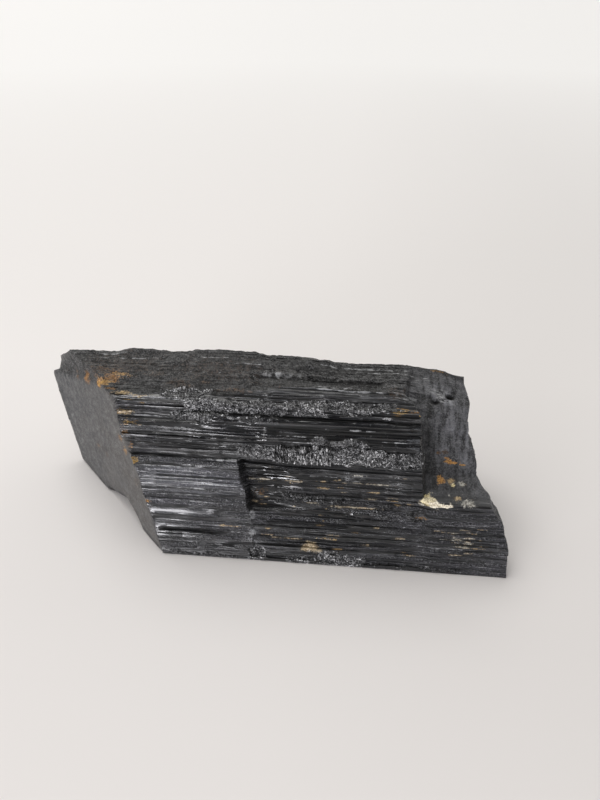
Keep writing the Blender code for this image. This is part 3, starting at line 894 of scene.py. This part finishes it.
def stone_masks(along, around, scar_place):
    """How strongly each look shows at every place of the skin."""
    scar = scar_mask(along, around, scar_place)
    crumble, sparkle = crumble_mask(along, around)
    stain, hue = stains(along, around, [*STAINS, *strewn_flecks()])
    # Painted highlights: the thin pale streaks, laid out like stains.
    streak, _ = stains(along, around, [(*line, 0.0) for line in PAINTED_HIGHLIGHT_STREAKS])
    return {
        "crumble": crumble,
        "sparkle": sparkle,
        "dust": dust_mask(along, around) * (1 - scar),
        "scar": scar,
        "matte": np.zeros_like(along),
        "stain": stain,
        "hue": hue,
        "film": film_mask(along, around) * (1 - scar),
        "polish": smooth_ribs(along, around)[0],
        "gloss": gloss_mask(along, around),
        "streak": streak,
        # The shade mask carries the painted light and shade.
        "shade": painted_light_and_shade_gain(along, around),
    }


def end_masks(points, is_left):
    """Masks of an end: the left one is smooth and matt below a line, and the right one is broken."""
    masks = {name: np.zeros(len(points)) for name in MASKS}
    masks.update(sparkle=masks["sparkle"] + 0.5, tone=masks["tone"] + 0.5, shade=masks["shade"] + 1.0)
    if is_left:
        deep, up = points[:, 1], points[:, 2]
        rough = smooth_step(above_recess_line(deep, up) + 0.5)
        stain, hue = stains(deep, up, LEFT_STAINS)
        masks.update(dust=rough, matte=1 - rough, stain=stain, hue=hue)
    else:
        masks.update(crumble=masks["crumble"] + 0.25, scar=masks["scar"] + 1.0)
    return masks


# ---------------------------------------------------------------- the skin
def smoothed(values, reach):
    """Each row's mean with its neighbours, up to reach rows to either side."""
    total = values.copy()
    for shift in range(1, reach + 1):
        total += np.roll(values, shift, axis=0) + np.roll(values, -shift, axis=0)
    return total / (2 * reach + 1)


def skin_grid():
    """The skin as rows round the section by columns along the crystal: points, masks and around."""
    whole = section_rows(0)
    around = round_the_section(whole)
    block = read_curve(BLOCK_WALL, around)
    scar = read_curve(SCAR_WALL, around)
    half = 0.5 * WALL_WIDTH
    start = left_rim(*whole.T, around)
    end = right_rim(*section_rows(2).T, around)
    along = column_places((start, block - half, block + half, scar - half, scar + half, end))
    around = np.repeat(around[:, None], along.shape[1], axis=1)

    scar_place = read_curve(SCAR_WALL, around) + SCAR_JAG * jag(around)
    masks = stone_masks(along, around, scar_place)
    fine, tone = fine_ribs(along, around)
    relief = skin_relief(along, around, masks, fine)
    section = sections_along(along, scar_place)
    section = section + outward_normals(section) * relief[..., None]
    up = np.maximum(section[..., 1] + top_edge_shift(along, around), LEAST_UP)
    under = np.clip(LEAST_UNDER + 0.6 * rib_relief(along, around) + fine, 0.0, 1.0)
    up[BACK_FOOT_ROW:] = under[BACK_FOOT_ROW:]
    up[0] = 0.0

    # Painted shade: places lower than their neighbours are darkened as hollows.
    hollow = smoothed(relief, HOLLOW_REACH) - relief
    masks["tone"] = tone
    masks["cavity"] = np.clip(hollow / FULL_HOLLOW_SHADE, 0.0, 1.0)
    # Painted highlight: crests above their neighbours get more of the pale lines.
    masks["crest"] = np.clip(-hollow / FULL_CREST_HIGHLIGHT, 0.0, 1.0)
    return np.stack((along, section[..., 0], up), axis=-1), masks, around


def left_end(deep, up, share):
    slow = 0.25 * noise(deep, up, LEFT_END_CELLS) * smooth_step(share * 5.0)
    rough = smooth_step(above_recess_line(deep, up) / 2.0)
    ragged = rough * (0.3 * noise(deep, up, LEFT_END_SMALL_CELLS) + 0.1 * noise(deep, up, LEFT_END_BITS))
    return left_plane(deep, up) + slow + ragged


def right_end(deep, up):
    broken = right_plane(deep, up) - RIGHT_HOLLOW
    for height, *lumps in RIGHT_LUMPS:
        broken = broken + height * noise(deep, up, lumps)
    return broken


def cap_rings(rim, middle, is_left):
    """Rings of points from just inside an end's rim towards its middle."""
    rings = []
    for ring in range(1, CAP_RINGS):
        share = ring / CAP_RINGS
        deep = rim[:, 1] + (middle[0] - rim[:, 1]) * share
        up = rim[:, 2] + (middle[1] - rim[:, 2]) * share
        if is_left:
            along = left_end(deep, up, share)
        else:
            weight = smooth_step(share * RIGHT_LUMPS_FULL)
            along = rim[:, 0] * (1 - weight) + right_end(deep, up) * weight
        rings.append(np.stack((along, deep, up), axis=-1))
    return rings


def crystal_faces(rings, rows):
    """Faces of the rings, with the two middles after them: first the right one, then the left one."""
    ring = np.arange(rings - 1)[:, None] * rows
    row = np.arange(rows)[None, :]
    after = (row + 1) % rows
    quads = np.stack((ring + row, ring + rows + row, ring + rows + after, ring + after), axis=-1)
    faces = quads.reshape(-1, 4).tolist()
    right_index = rings * rows
    left_index = right_index + 1
    last_ring = (rings - 1) * rows
    for index in range(rows):
        following = (index + 1) % rows
        faces.append((left_index, index, following))
        faces.append((right_index, last_ring + following, last_ring + index))
    return faces


def crystal_mesh(grid, skin_masks):
    """Points of the whole crystal in millimetres, its faces and its masks."""
    rows, columns = grid.shape[:2]
    left_cap = np.concatenate(cap_rings(grid[:, 0], LEFT_MIDDLE, True)[::-1])
    right_cap = np.concatenate(cap_rings(grid[:, -1], RIGHT_MIDDLE, False))
    right_middle = np.array([[float(right_end(*RIGHT_MIDDLE)), *RIGHT_MIDDLE]])
    left_middle = np.array([[float(left_end(*LEFT_MIDDLE, 1.0)), *LEFT_MIDDLE]])
    skin = grid.transpose(1, 0, 2).reshape(-1, 3)
    points = np.concatenate((left_cap, skin, right_cap, right_middle, left_middle))
    blocks = (end_masks(left_cap, True), {name: skin_masks[name].T.reshape(-1) for name in MASKS},
              end_masks(right_cap, False), end_masks(right_middle, False), end_masks(left_middle, True))
    masks = {name: np.concatenate([block[name] for block in blocks]) for name in MASKS}
    return points, crystal_faces(2 * (CAP_RINGS - 1) + columns, rows), masks


def to_row_frame(points):
    """Crystal millimetres to the frame's metres, kept inside the CAD's own box."""
    zero = np.array((cad_high[0] - RIGHT_REACH * MM, cad_low[1], cad_low[2]))
    return np.clip(points * MM + zero, np.array(cad_low), np.array(cad_high))


def add_to_scene(name, data):
    item = bpy.data.objects.new(name, data)
    bpy.context.scene.collection.objects.link(item)
    return item


def add_piece(name, points, faces, masks, sharp_angle):
    """A piece from points in crystal millimetres, riding on the root."""
    mesh = bpy.data.meshes.new(name)
    mesh.from_pydata(to_row_frame(points).tolist(), [], faces)
    mesh.update()
    mesh.shade_smooth()
    mesh.set_sharp_from_angle(angle=math.radians(sharp_angle))
    for mask, values in masks.items():
        mesh.attributes.new(mask, "FLOAT", "POINT").data.foreach_set("value", values.astype(np.float32))
    piece = add_to_scene(name, mesh)
    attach(piece, "root")
    return piece


# ---------------------------------------------------------------- the grains
def surface_at(grid, along, row):
    """Points and outward normals of the skin at places along it on given rows."""
    points = np.empty((len(along), 3))
    normals = np.empty((len(along), 3))
    rows, columns = grid.shape[:2]
    for index, (place, line) in enumerate(zip(along, row)):
        column = np.searchsorted(grid[line, :, 0], place)
        column = int(np.clip(column, 1, columns - 2))
        points[index] = grid[line, column]
        along_step = grid[line, column + 1] - grid[line, column - 1]
        round_step = grid[(line + 3) % rows, column] - grid[line - 3, column]
        normal = np.cross(along_step, round_step)
        normals[index] = -normal / np.linalg.norm(normal)
    return points, normals


def grain_places(draw, grid, crumble):
    """Row and column of each grain, spread evenly over the crumbled skin in front of the top edge."""
    crumbled = crumble > GRAINS_FROM
    crumbled[TOP_BACK_ROW:] = False
    # Rows lie closer than columns, so each place is drawn by the patch of skin that it stands for.
    size_along = np.gradient(grid[..., 0], axis=1)[crumbled]
    size_round = np.linalg.norm(np.roll(grid, -1, axis=0) - grid, axis=-1)[crumbled]
    patch = size_along * size_round
    places = np.argwhere(crumbled)
    return places[draw.choice(len(places), GRAIN_COUNT, p=patch / patch.sum())].T


def grain_half(draw, hackled):
    """Half sizes of one grain. Most of the hackled ones are thin and stand across the crystal."""
    small, large = GRAIN_HALF
    half = (small + (large - small) * draw.uniform(size=3) ** GRAIN_MOSTLY_SMALL) * GRAIN_SHAPE
    if hackled and draw.uniform() < HACKLE_SHARE:
        half = np.array(HACKLE_HALF) * draw.uniform(*HACKLE_SIZES)
    return half


def random_turn(draw, reach):
    """A turn about a random axis, by up to reach radians."""
    axis = draw.normal(size=3)
    axis /= np.linalg.norm(axis)
    angle = draw.uniform(-reach, reach)
    cross = np.array(((0, -axis[2], axis[1]), (axis[2], 0, -axis[0]), (-axis[1], axis[0], 0)))
    return np.eye(3) + math.sin(angle) * cross + (1 - math.cos(angle)) * (cross @ cross)


def crumbled_grains(grid, skin_masks, around):
    """Small angular grains, half sunk in the crumbled bands: points, faces and masks."""
    draw = np.random.default_rng(GRAIN_SEED)
    rows, columns = grain_places(draw, grid, skin_masks["crumble"])
    along = grid[rows, columns, 0] + draw.uniform(-GRAIN_SHIFT, GRAIN_SHIFT, GRAIN_COUNT)
    around = around[rows, 0]
    centres, normals = surface_at(grid, along, rows)
    centres[:, 0] = along
    hackles = (HACKLE[0] < along) & (along < HACKLE[1]) & (HACKLE[2] < around) & (around < HACKLE[3])
    sparkle = skin_masks["sparkle"][rows, columns]
    clump = GRAIN_TONE + GRAIN_CLUMPS * noise(along, around, GRAIN_CLUMP_CELLS)
    cube = np.array(list(itertools.product((-1.0, 1.0), repeat=3)))
    points = []
    faces = []
    tones = []
    for index, hackled in enumerate(hackles):
        half = grain_half(draw, hackled)
        turn = random_turn(draw, HACKLE_TURN if hackled else GRAIN_TURN)
        corners = (cube * half * draw.uniform(*GRAIN_CORNERS, (8, 1))) @ turn.T
        points.append(centres[index] + corners + normals[index] * draw.uniform(*GRAIN_PROUD))
        faces.extend(tuple(8 * index + corner for corner in face) for face in CUBE_FACES)
        # Painted glints, partly pale bits: the grains' tones follow the crumbled bands' brightness.
        tones.append(np.full(8, draw.uniform() * sparkle[index] * clump[index]))
    return np.concatenate(points), faces, {"tone": np.concatenate(tones)}


# ---------------------------------------------------------------- materials
TOURMALINE_IOR = 1.63
DEEP_BLACK = (0.002, 0.002, 0.003)
RIB_BLACK = (0.012, 0.0125, 0.014)
RIB_GREY = (0.034, 0.035, 0.038)
FILM_BLUE = (0.033, 0.033, 0.041)
FILM_PALE = (0.170, 0.170, 0.185)
POLISHED = (0.030, 0.031, 0.036)
PALE_LINE_AND_HIGHLIGHT = (0.20, 0.20, 0.205)
SUGAR_GAP = (0.006, 0.006, 0.007)
SUGAR_DULL = (0.04, 0.04, 0.042)
SUGAR_GLINT_AND_PALE = (0.36, 0.36, 0.37)
DUST_DARK = (0.004, 0.004, 0.004)
DUST_GREY = (0.022, 0.0215, 0.021)
DUST_PALE = (0.095, 0.096, 0.100)
# Black of the dust's grain gaps, and of the painted shade in hollows.
GAP_AND_HOLLOW_SHADE_BLACK = (0.003, 0.003, 0.003)
DUST_BROWN = (0.030, 0.024, 0.017)
DUST_LINE = (0.16, 0.16, 0.16)
SCAR_DARK = (0.018, 0.018, 0.020)
SCAR_PALE = (0.125, 0.126, 0.136)
SCAR_CREST = (0.190, 0.192, 0.200)
SCAR_PIT = (0.010, 0.010, 0.010)
END_UPPER = (0.032, 0.034, 0.037)
END_LOWER = (0.054, 0.050, 0.046)
END_BRUSHED = (0.094, 0.094, 0.092)
PAINTED_HIGHLIGHT_COLOUR = (0.36, 0.365, 0.375)
STAIN_SHADOW = (0.42, 0.37, 0.32)
WHITE = (1.0, 1.0, 1.0)
GRAIN_DARK = (0.005, 0.005, 0.006)
GRAIN_GLINT_AND_PALE = (0.88, 0.88, 0.89)
GRAIN_GREY = (0.02, 0.02, 0.021)
TABLE_FRONT = (0.766, 0.737, 0.721)
TABLE_BACK_PAINTED_LIGHT = (0.838, 0.808, 0.790)
TABLE_FAR = (0.97, 0.960, 0.950)


class Graph:
    """The node tree of a material or the world, with one short call for each kind of node."""

    def __init__(self, owner, shader="Principled BSDF"):
        owner.use_nodes = True
        self.tree = owner.node_tree
        self.shader = self.tree.nodes[shader]

    def put(self, socket, value):
        if isinstance(value, bpy.types.NodeSocket):
            self.tree.links.new(value, socket)
        else:
            socket.default_value = value

    def mask(self, name):
        node = self.tree.nodes.new("ShaderNodeAttribute")
        node.attribute_name = name
        return node.outputs["Fac"]

    def millimetres(self):
        node = self.tree.nodes.new("ShaderNodeTexCoord")
        return self.stretch(node.outputs["Object"], (1000.0, 1000.0, 1000.0))

    def part(self, vector, axis):
        node = self.tree.nodes.new("ShaderNodeSeparateXYZ")
        self.put(node.inputs[0], vector)
        return node.outputs[axis]

    def vector_maths(self, operation, a, b=None):
        node = self.tree.nodes.new("ShaderNodeVectorMath")
        node.operation = operation
        self.put(node.inputs[0], a)
        if b is not None:
            self.put(node.inputs[1], b)
        return node.outputs

    def stretch(self, vector, factors):
        return self.vector_maths("MULTIPLY", vector, factors)["Vector"]

    def noise(self, vector, scale, detail, rough):
        """Noise with scale cells to a unit; three scales stretch it."""
        if isinstance(scale, tuple):
            vector = self.stretch(vector, scale)
            scale = 1.0
        node = self.tree.nodes.new("ShaderNodeTexNoise")
        self.put(node.inputs["Vector"], vector)
        node.inputs["Scale"].default_value = scale
        node.inputs["Detail"].default_value = detail
        node.inputs["Roughness"].default_value = rough
        return node.outputs["Fac"]

    def ramp(self, value, low, high, to_low=0.0, to_high=1.0):
        node = self.tree.nodes.new("ShaderNodeMapRange")
        self.put(node.inputs["Value"], value)
        limits = (("From Min", low), ("From Max", high), ("To Min", to_low), ("To Max", to_high))
        for name, number in limits:
            self.put(node.inputs[name], number)
        return node.outputs["Result"]

    def maths(self, operation, a, b):
        node = self.tree.nodes.new("ShaderNodeMath")
        node.operation = operation
        self.put(node.inputs[0], a)
        self.put(node.inputs[1], b)
        return node.outputs[0]

    def times(self, a, b):
        return self.maths("MULTIPLY", a, b)

    def plus(self, a, b):
        return self.maths("ADD", a, b)

    def mix(self, factor, a, b):
        """A colour between a and b."""
        node = self.tree.nodes.new("ShaderNodeMix")
        node.data_type = "RGBA"
        self.put(node.inputs["Factor"], factor)
        colours = [socket for socket in node.inputs if socket.type == "RGBA"]
        for socket, value in zip(colours, (a, b)):
            self.put(socket, (*value, 1.0) if isinstance(value, tuple) else value)
        return [socket for socket in node.outputs if socket.type == "RGBA"][0]

    def tinted(self, a, b):
        """Colour a multiplied by colour b."""
        node = self.tree.nodes.new("ShaderNodeMix")
        node.data_type = "RGBA"
        node.blend_type = "MULTIPLY"
        node.inputs["Factor"].default_value = 1.0
        colours = [socket for socket in node.inputs if socket.type == "RGBA"]
        self.put(colours[0], a)
        self.put(colours[1], b)
        return [socket for socket in node.outputs if socket.type == "RGBA"][0]

    def colours(self, value, stops):
        """A colour read at value from a row of (place, colour) stops."""
        node = self.tree.nodes.new("ShaderNodeValToRGB")
        self.put(node.inputs["Fac"], value)
        elements = node.color_ramp.elements
        while len(elements) < len(stops):
            elements.new(0.5)
        for element, (place, tint) in zip(elements, stops):
            element.position = place
            element.color = (*tint, 1.0)
        return node.outputs["Color"]

    def mix_value(self, factor, a, b):
        node = self.tree.nodes.new("ShaderNodeMix")
        self.put(node.inputs["Factor"], factor)
        self.put(node.inputs["A"], a)
        self.put(node.inputs["B"], b)
        return node.outputs["Result"]

    def bump(self, height, distance, strength=1.0, under=None):
        node = self.tree.nodes.new("ShaderNodeBump")
        node.inputs["Strength"].default_value = strength
        node.inputs["Distance"].default_value = distance
        self.put(node.inputs["Height"], height)
        if under is not None:
            self.put(node.inputs["Normal"], under)
        return node.outputs["Normal"]


# Noise textures of the stone: cells per millimetre (three where they are stretched), detail, roughness.
TEXTURES = {
    "broad": ((0.02, 0.8, 0.8), 2.0, 0.5),
    "lines": ((0.035, 2.2, 2.2), 2.0, 0.5),
    "threads": ((0.06, 5.0, 5.0), 1.0, 0.5),
    "grain": (1.5, 5.0, 0.65),
    "speck": (0.35, 5.0, 0.7),
    "cloud": (0.09, 3.0, 0.6),
    "fall": ((0.7, 0.10, 0.10), 2.0, 0.5),
    "broken": ((0.14, 1.6, 1.6), 2.0, 0.6),
    "mottle": ((0.42, 0.16, 0.16), 3.0, 0.6),
    "brushed": ((0.10, 0.10, 0.55), 4.0, 0.65),
    "fine_brushed": ((0.35, 0.35, 1.4), 4.0, 0.65),
    "bits": (0.9, 4.0, 0.6),
}


def ribbed_black(g, at):
    """The ribs: near black, with pale lines on their crests, partly painted highlight and partly dusty
    scratches, and the patchy bluish film.
    """
    black = g.mix(g.ramp(at.broad, 0.38, 0.62), DEEP_BLACK, RIB_BLACK)
    pale_and_highlight_line = g.times(g.ramp(at.lines, 0.62, 0.66), g.ramp(at.broken, 0.46, 0.58))
    # Painted highlight: the pale lines are stronger on the rib crests.
    pale_and_highlight_line = g.times(pale_and_highlight_line, g.ramp(at.crest, 0.0, 0.5, 0.3, 1.0))
    thread_line = g.times(g.ramp(at.threads, 0.62, 0.68), g.ramp(at.broken, 0.46, 0.60, 0.0, 0.7))
    pale_and_highlight_line = g.plus(pale_and_highlight_line, thread_line)
    pale_and_highlight_line = g.times(pale_and_highlight_line, g.ramp(at.gloss, 0.0, 1.0, 1.0, 0.35))
    grey_line = g.times(g.ramp(at.lines, 0.52, 0.60, 0.0, 0.8), g.ramp(at.gloss, 0.0, 1.0, 1.0, 0.3))
    black = g.mix(grey_line, black, RIB_GREY)
    black = g.mix(at.patchy_film, black, FILM_BLUE)
    black = g.mix(g.times(at.patchy_film, g.ramp(at.grain, 0.55, 0.61)), black, FILM_PALE)
    black = g.mix(g.times(at.polish, 0.8), black, POLISHED)
    return g.mix(pale_and_highlight_line, black, PALE_LINE_AND_HIGHLIGHT)


def dusty_top(g, at):
    """Dull grey dust, with dark gaps, brown specks and thin pale lines."""
    dusty = g.mix(g.ramp(at.cloud, 0.35, 0.65), DUST_DARK, DUST_GREY)
    dusty = g.mix(g.ramp(at.grain, 0.53, 0.60, 0.0, 0.8), dusty, DUST_PALE)
    dusty = g.mix(g.ramp(at.grain, 0.47, 0.40), dusty, GAP_AND_HOLLOW_SHADE_BLACK)
    dusty = g.mix(g.times(g.ramp(at.speck, 0.56, 0.64), 0.4), dusty, DUST_BROWN)
    return g.mix(g.ramp(at.lines, 0.60, 0.68, 0.0, 0.5), dusty, DUST_LINE)


def broken_scar(g, at):
    """The rough break: mottled grey, streaked downwards."""
    mottled = g.plus(g.times(at.fall, 0.4), g.times(at.mottle, 0.6))
    flow = g.mix(g.ramp(mottled, 0.41, 0.59), SCAR_DARK, SCAR_PALE)
    flow = g.mix(g.ramp(at.grain, 0.54, 0.62, 0.0, 0.5), flow, SCAR_CREST)
    return g.mix(g.ramp(at.grain, 0.46, 0.38, 0.0, 0.5), flow, SCAR_PIT)


def matt_end(g, at):
    """The smooth part of the left end, faintly brushed and browner below."""
    lower = g.ramp(g.plus(g.times(g.part(at.place, "Y"), -0.03), g.times(at.cloud, 2.0)), 0.2, 1.6)
    brushing = g.plus(g.times(at.brushed, 0.6), g.times(at.fine_brushed, 0.4))
    return g.mix(g.ramp(brushing, 0.42, 0.60, 0.0, 0.6), g.mix(lower, END_UPPER, END_LOWER), END_BRUSHED)


def crumbled_sugar(g, at):
    # Painted glints, partly pale powdery bits: bright specks in the crumbled stone.
    bright = g.mix(g.mask("sparkle"), SUGAR_DULL, SUGAR_GLINT_AND_PALE)
    return g.mix(g.ramp(at.grain, 0.48, 0.58), SUGAR_GAP, bright)


def stained(g, at, stone):
    """The stone under its painted highlight streaks and its coloured stains."""
    # Painted highlights: thin pale streaks along the ribs.
    streak = g.ramp(g.plus(g.mask("streak"), g.ramp(at.speck, 0.36, 0.64, -0.45, 0.25)), 0.20, 0.60)
    stone = g.mix(streak, stone, PAINTED_HIGHLIGHT_COLOUR)
    break_up = g.plus(g.times(at.bits, 0.4), g.times(at.grain, 0.6))
    stain = g.ramp(g.plus(g.mask("stain"), g.ramp(break_up, 0.36, 0.62, -0.7, 0.3)), 0.12, 0.72)
    shade = g.mix(g.ramp(at.grain, 0.40, 0.56), STAIN_SHADOW, WHITE)
    return g.mix(stain, stone, g.tinted(g.colours(g.mask("hue"), STAIN_COLOURS), shade))


def stone_colour(g, at):
    stone = g.mix(at.dust, ribbed_black(g, at), dusty_top(g, at))
    stone = g.mix(at.scar, stone, broken_scar(g, at))
    stone = g.mix(at.matte, stone, matt_end(g, at))
    # Painted light and shade: broad patches make the stone lighter or darker.
    stone = g.tinted(stone, g.mask("shade"))
    uneven = g.plus(at.crumble, g.ramp(at.speck, 0.35, 0.65, -0.25, 0.25))
    stone = g.mix(g.ramp(uneven, 0.35, 0.7), stone, crumbled_sugar(g, at))
    # Painted shade: hollows darkened towards black.
    stone = g.mix(g.times(at.cavity, 0.85), stone, GAP_AND_HOLLOW_SHADE_BLACK)
    return stained(g, at, stone)


def stone_roughness(g, at):
    rough = g.ramp(at.tone, 0.3, 0.7, 0.15, 0.34)
    rough = g.mix_value(at.patchy_film, rough, 0.32)
    rough = g.mix_value(g.times(at.gloss, 0.8), rough, 0.14)
    rough = g.mix_value(at.polish, rough, 0.17)
    dull = g.ramp(g.plus(g.times(at.speck, 0.5), g.times(at.grain, 0.5)), 0.42, 0.56, 0.95, 0.42)
    rough = g.mix_value(at.plain, rough, dull)
    rough = g.mix_value(at.crumble, rough, 0.40)
    return g.mix_value(at.cavity, rough, 0.8)


def stone_normal(g, at):
    """Fine ribs where the stone is striated, and grain where it is rough."""
    striated = g.ramp(at.plain, 0.0, 1.0, 1.0, 0.15)
    shiny = g.maths("MAXIMUM", at.polish, at.gloss)
    striated = g.times(striated, g.ramp(shiny, 0.0, 1.0, 1.0, 0.25))
    rib_height = g.times(g.plus(at.broad, g.times(at.lines, 0.8)), striated)
    grainy = g.plus(g.plus(at.plain, at.crumble), g.times(at.patchy_film, 0.4))
    grain_height = g.times(g.plus(at.grain, at.speck), g.ramp(grainy, 0.0, 1.0, 0.02, 1.0))
    grain_height = g.times(grain_height, g.ramp(at.matte, 0.0, 1.0, 1.0, 0.1))
    return g.bump(grain_height, 0.0008, 0.8, g.bump(rib_height, 0.00032))


def tourmaline_material():
    material = bpy.data.materials.new("black_tourmaline")
    g = Graph(material)
    at = SimpleNamespace(place=g.millimetres())
    for name in ("crumble", "dust", "scar", "matte", "tone", "cavity", "crest", "polish", "gloss"):
        vars(at)[name] = g.mask(name)
    for name, texture in TEXTURES.items():
        vars(at)[name] = g.noise(at.place, *texture)
    at.plain = g.ramp(g.plus(g.plus(at.dust, at.scar), at.matte), 0.0, 1.0)
    worn_off = g.ramp(g.plus(g.times(at.lines, 0.5), g.times(at.grain, 0.5)), 0.40, 0.56)
    at.patchy_film = g.times(g.mask("film"), worn_off)
    g.put(g.shader.inputs["Base Color"], stone_colour(g, at))
    g.put(g.shader.inputs["Roughness"], stone_roughness(g, at))
    g.shader.inputs["IOR"].default_value = TOURMALINE_IOR
    g.put(g.shader.inputs["Normal"], stone_normal(g, at))
    return material


def grain_material():
    material = bpy.data.materials.new("tourmaline_grains")
    g = Graph(material)
    place = g.millimetres()
    tone = g.mask("tone")
    fine = g.noise(place, 2.5, 3.0, 0.55)
    # Painted glints, partly pale powdery bits: bright grains.
    body = g.mix(g.ramp(tone, 0.20, 0.66), GRAIN_DARK, GRAIN_GLINT_AND_PALE)
    g.put(g.shader.inputs["Base Color"], g.mix(g.ramp(fine, 0.4, 0.6), body, GRAIN_GREY))
    g.put(g.shader.inputs["Roughness"], g.ramp(fine, 0.3, 0.7, 0.18, 0.45))
    g.shader.inputs["IOR"].default_value = TOURMALINE_IOR
    g.put(g.shader.inputs["Normal"], g.bump(fine, 0.0002, 0.5))
    return material


def floor_material():
    material = bpy.data.materials.new("pale_table")
    g = Graph(material)
    where = g.tree.nodes.new("ShaderNodeTexCoord").outputs["Object"]
    # Painted light and shade: the table is lighter towards the back as if lit from behind, darker to the
    # right as shade, and lighter far off like the pale wall.
    far = g.ramp(g.vector_maths("LENGTH", where)["Value"], 0.12, 1.6)
    near_colour = g.mix(g.ramp(g.part(where, "Y"), -0.06, 0.10), TABLE_FRONT, TABLE_BACK_PAINTED_LIGHT)
    near_colour = g.tinted(near_colour, g.ramp(g.part(where, "X"), 0.02, 0.25, 1.0, 0.90))
    g.put(g.shader.inputs["Base Color"], g.mix(far, near_colour, TABLE_FAR))
    g.shader.inputs["Roughness"].default_value = 0.6
    return material


# ---------------------------------------------------------------- stage
CAMERA_PLACE = (0.0365, -0.1916, 0.189)
CAMERA_TILT = math.radians(54.6)         # from straight down
CAMERA_TURN = math.radians(5.2)
CAMERA_LENS = 27.0
BRIGHT_SIDE = (-0.40, 0.72, 0.57)
ROOM_STRENGTH = (-0.5, 0.8, 0.05, 1.06)                     # facing away, towards, and the light there
CEILING_STRENGTH = (0.12, 0.5, 1.0, 0.76)
ROOM_COLOUR = (1.0, 0.985, 0.965, 1.0)
FLOOR_HALF = 20.0
# The sun's azimuth, elevation, strength, spread and tint.
SUN = (-148.0, 51.0, 1.3, 36.0, (1.0, 0.99, 0.97))
# Windows: name, azimuth, elevation, distance, width, height, power, tint.
WINDOWS = (
    ("window", -29.0, 6.0, 0.9, 0.52, 0.22, 6.6, (0.97, 0.96, 1.0)),
    ("far_window", 26.0, 9.0, 0.9, 0.45, 0.24, 0.6, (0.90, 0.92, 1.0)),
)
FLOOR_GAP = 0.0001                       # keeps the floor just below the stone


def build_camera():
    camera = add_to_scene("camera", bpy.data.cameras.new("camera"))
    camera.data.lens = CAMERA_LENS
    camera.data.sensor_width = 36.0
    camera.data.clip_start = 0.01
    camera.location = CAMERA_PLACE
    camera.rotation_euler = (CAMERA_TILT, 0.0, CAMERA_TURN)
    bpy.context.scene.camera = camera


def build_floor():
    mesh = bpy.data.meshes.new("table")
    half = FLOOR_HALF
    corners = [(-half, -half, 0.0), (half, -half, 0.0), (half, half, 0.0), (-half, half, 0.0)]
    mesh.from_pydata(corners, [], [(0, 1, 2, 3)])
    mesh.materials.append(floor_material())
    floor = add_to_scene("table", mesh)
    floor.location.z = cad_low[2] - FLOOR_GAP


def toward(azimuth, elevation):
    """Unit direction; azimuth in degrees from straight ahead of the front (-Y) towards +X."""
    azimuth = math.radians(azimuth)
    elevation = math.radians(elevation)
    return Vector((math.sin(azimuth) * math.cos(elevation), -math.cos(azimuth) * math.cos(elevation),
                      math.sin(elevation)))


def sun_light(azimuth, elevation, strength, spread, tint):
    light = bpy.data.lights.new("sky_light", "SUN")
    light.energy = strength
    light.angle = math.radians(spread)
    light.color = tint
    lamp = add_to_scene("sky_light", light)
    lamp.rotation_euler = (-toward(azimuth, elevation)).to_track_quat("-Z", "Y").to_euler()


def window_light(name, azimuth, elevation, distance, width, height, power, tint):
    light = bpy.data.lights.new(name, "AREA")
    light.shape = "RECTANGLE"
    light.size = width
    light.size_y = height
    light.energy = power
    light.color = tint
    lamp = add_to_scene(name, light)
    direction = toward(azimuth, elevation)
    lamp.location = direction * distance
    lamp.rotation_euler = (-direction).to_track_quat("-Z", "Y").to_euler()
    lamp.visible_camera = False


def build_world():
    """A pale room: bright behind and to the left, darker where the viewer stands."""
    world = bpy.data.worlds.new("room")
    bpy.context.scene.world = world
    g = Graph(world, "Background")
    where = g.tree.nodes.new("ShaderNodeTexCoord").outputs["Generated"]
    strength = g.ramp(g.vector_maths("DOT_PRODUCT", where, BRIGHT_SIDE)["Value"], *ROOM_STRENGTH)
    strength.node.interpolation_type = "SMOOTHSTEP"
    ceiling = g.ramp(g.part(where, "Z"), *CEILING_STRENGTH)
    g.put(g.shader.inputs["Strength"], g.times(strength, ceiling))
    g.put(g.shader.inputs["Color"], ROOM_COLOUR)


SKIN_SHARP = 36.0               # edges sharper than this many degrees stay sharp
GRAIN_SHARP = 20.0

build_camera()
build_floor()
build_world()
sun_light(*SUN)
for window in WINDOWS:
    window_light(*window)
bpy.context.scene.view_settings.view_transform = "Standard"

grid, skin_masks, around = skin_grid()
skin = add_piece("crystal_skin", *crystal_mesh(grid, skin_masks), SKIN_SHARP)
skin.data.materials.append(tourmaline_material())
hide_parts(NODE)
grains = add_piece("crumbled_grains", *crumbled_grains(grid, skin_masks, around), GRAIN_SHARP)
grains.data.materials.append(grain_material())
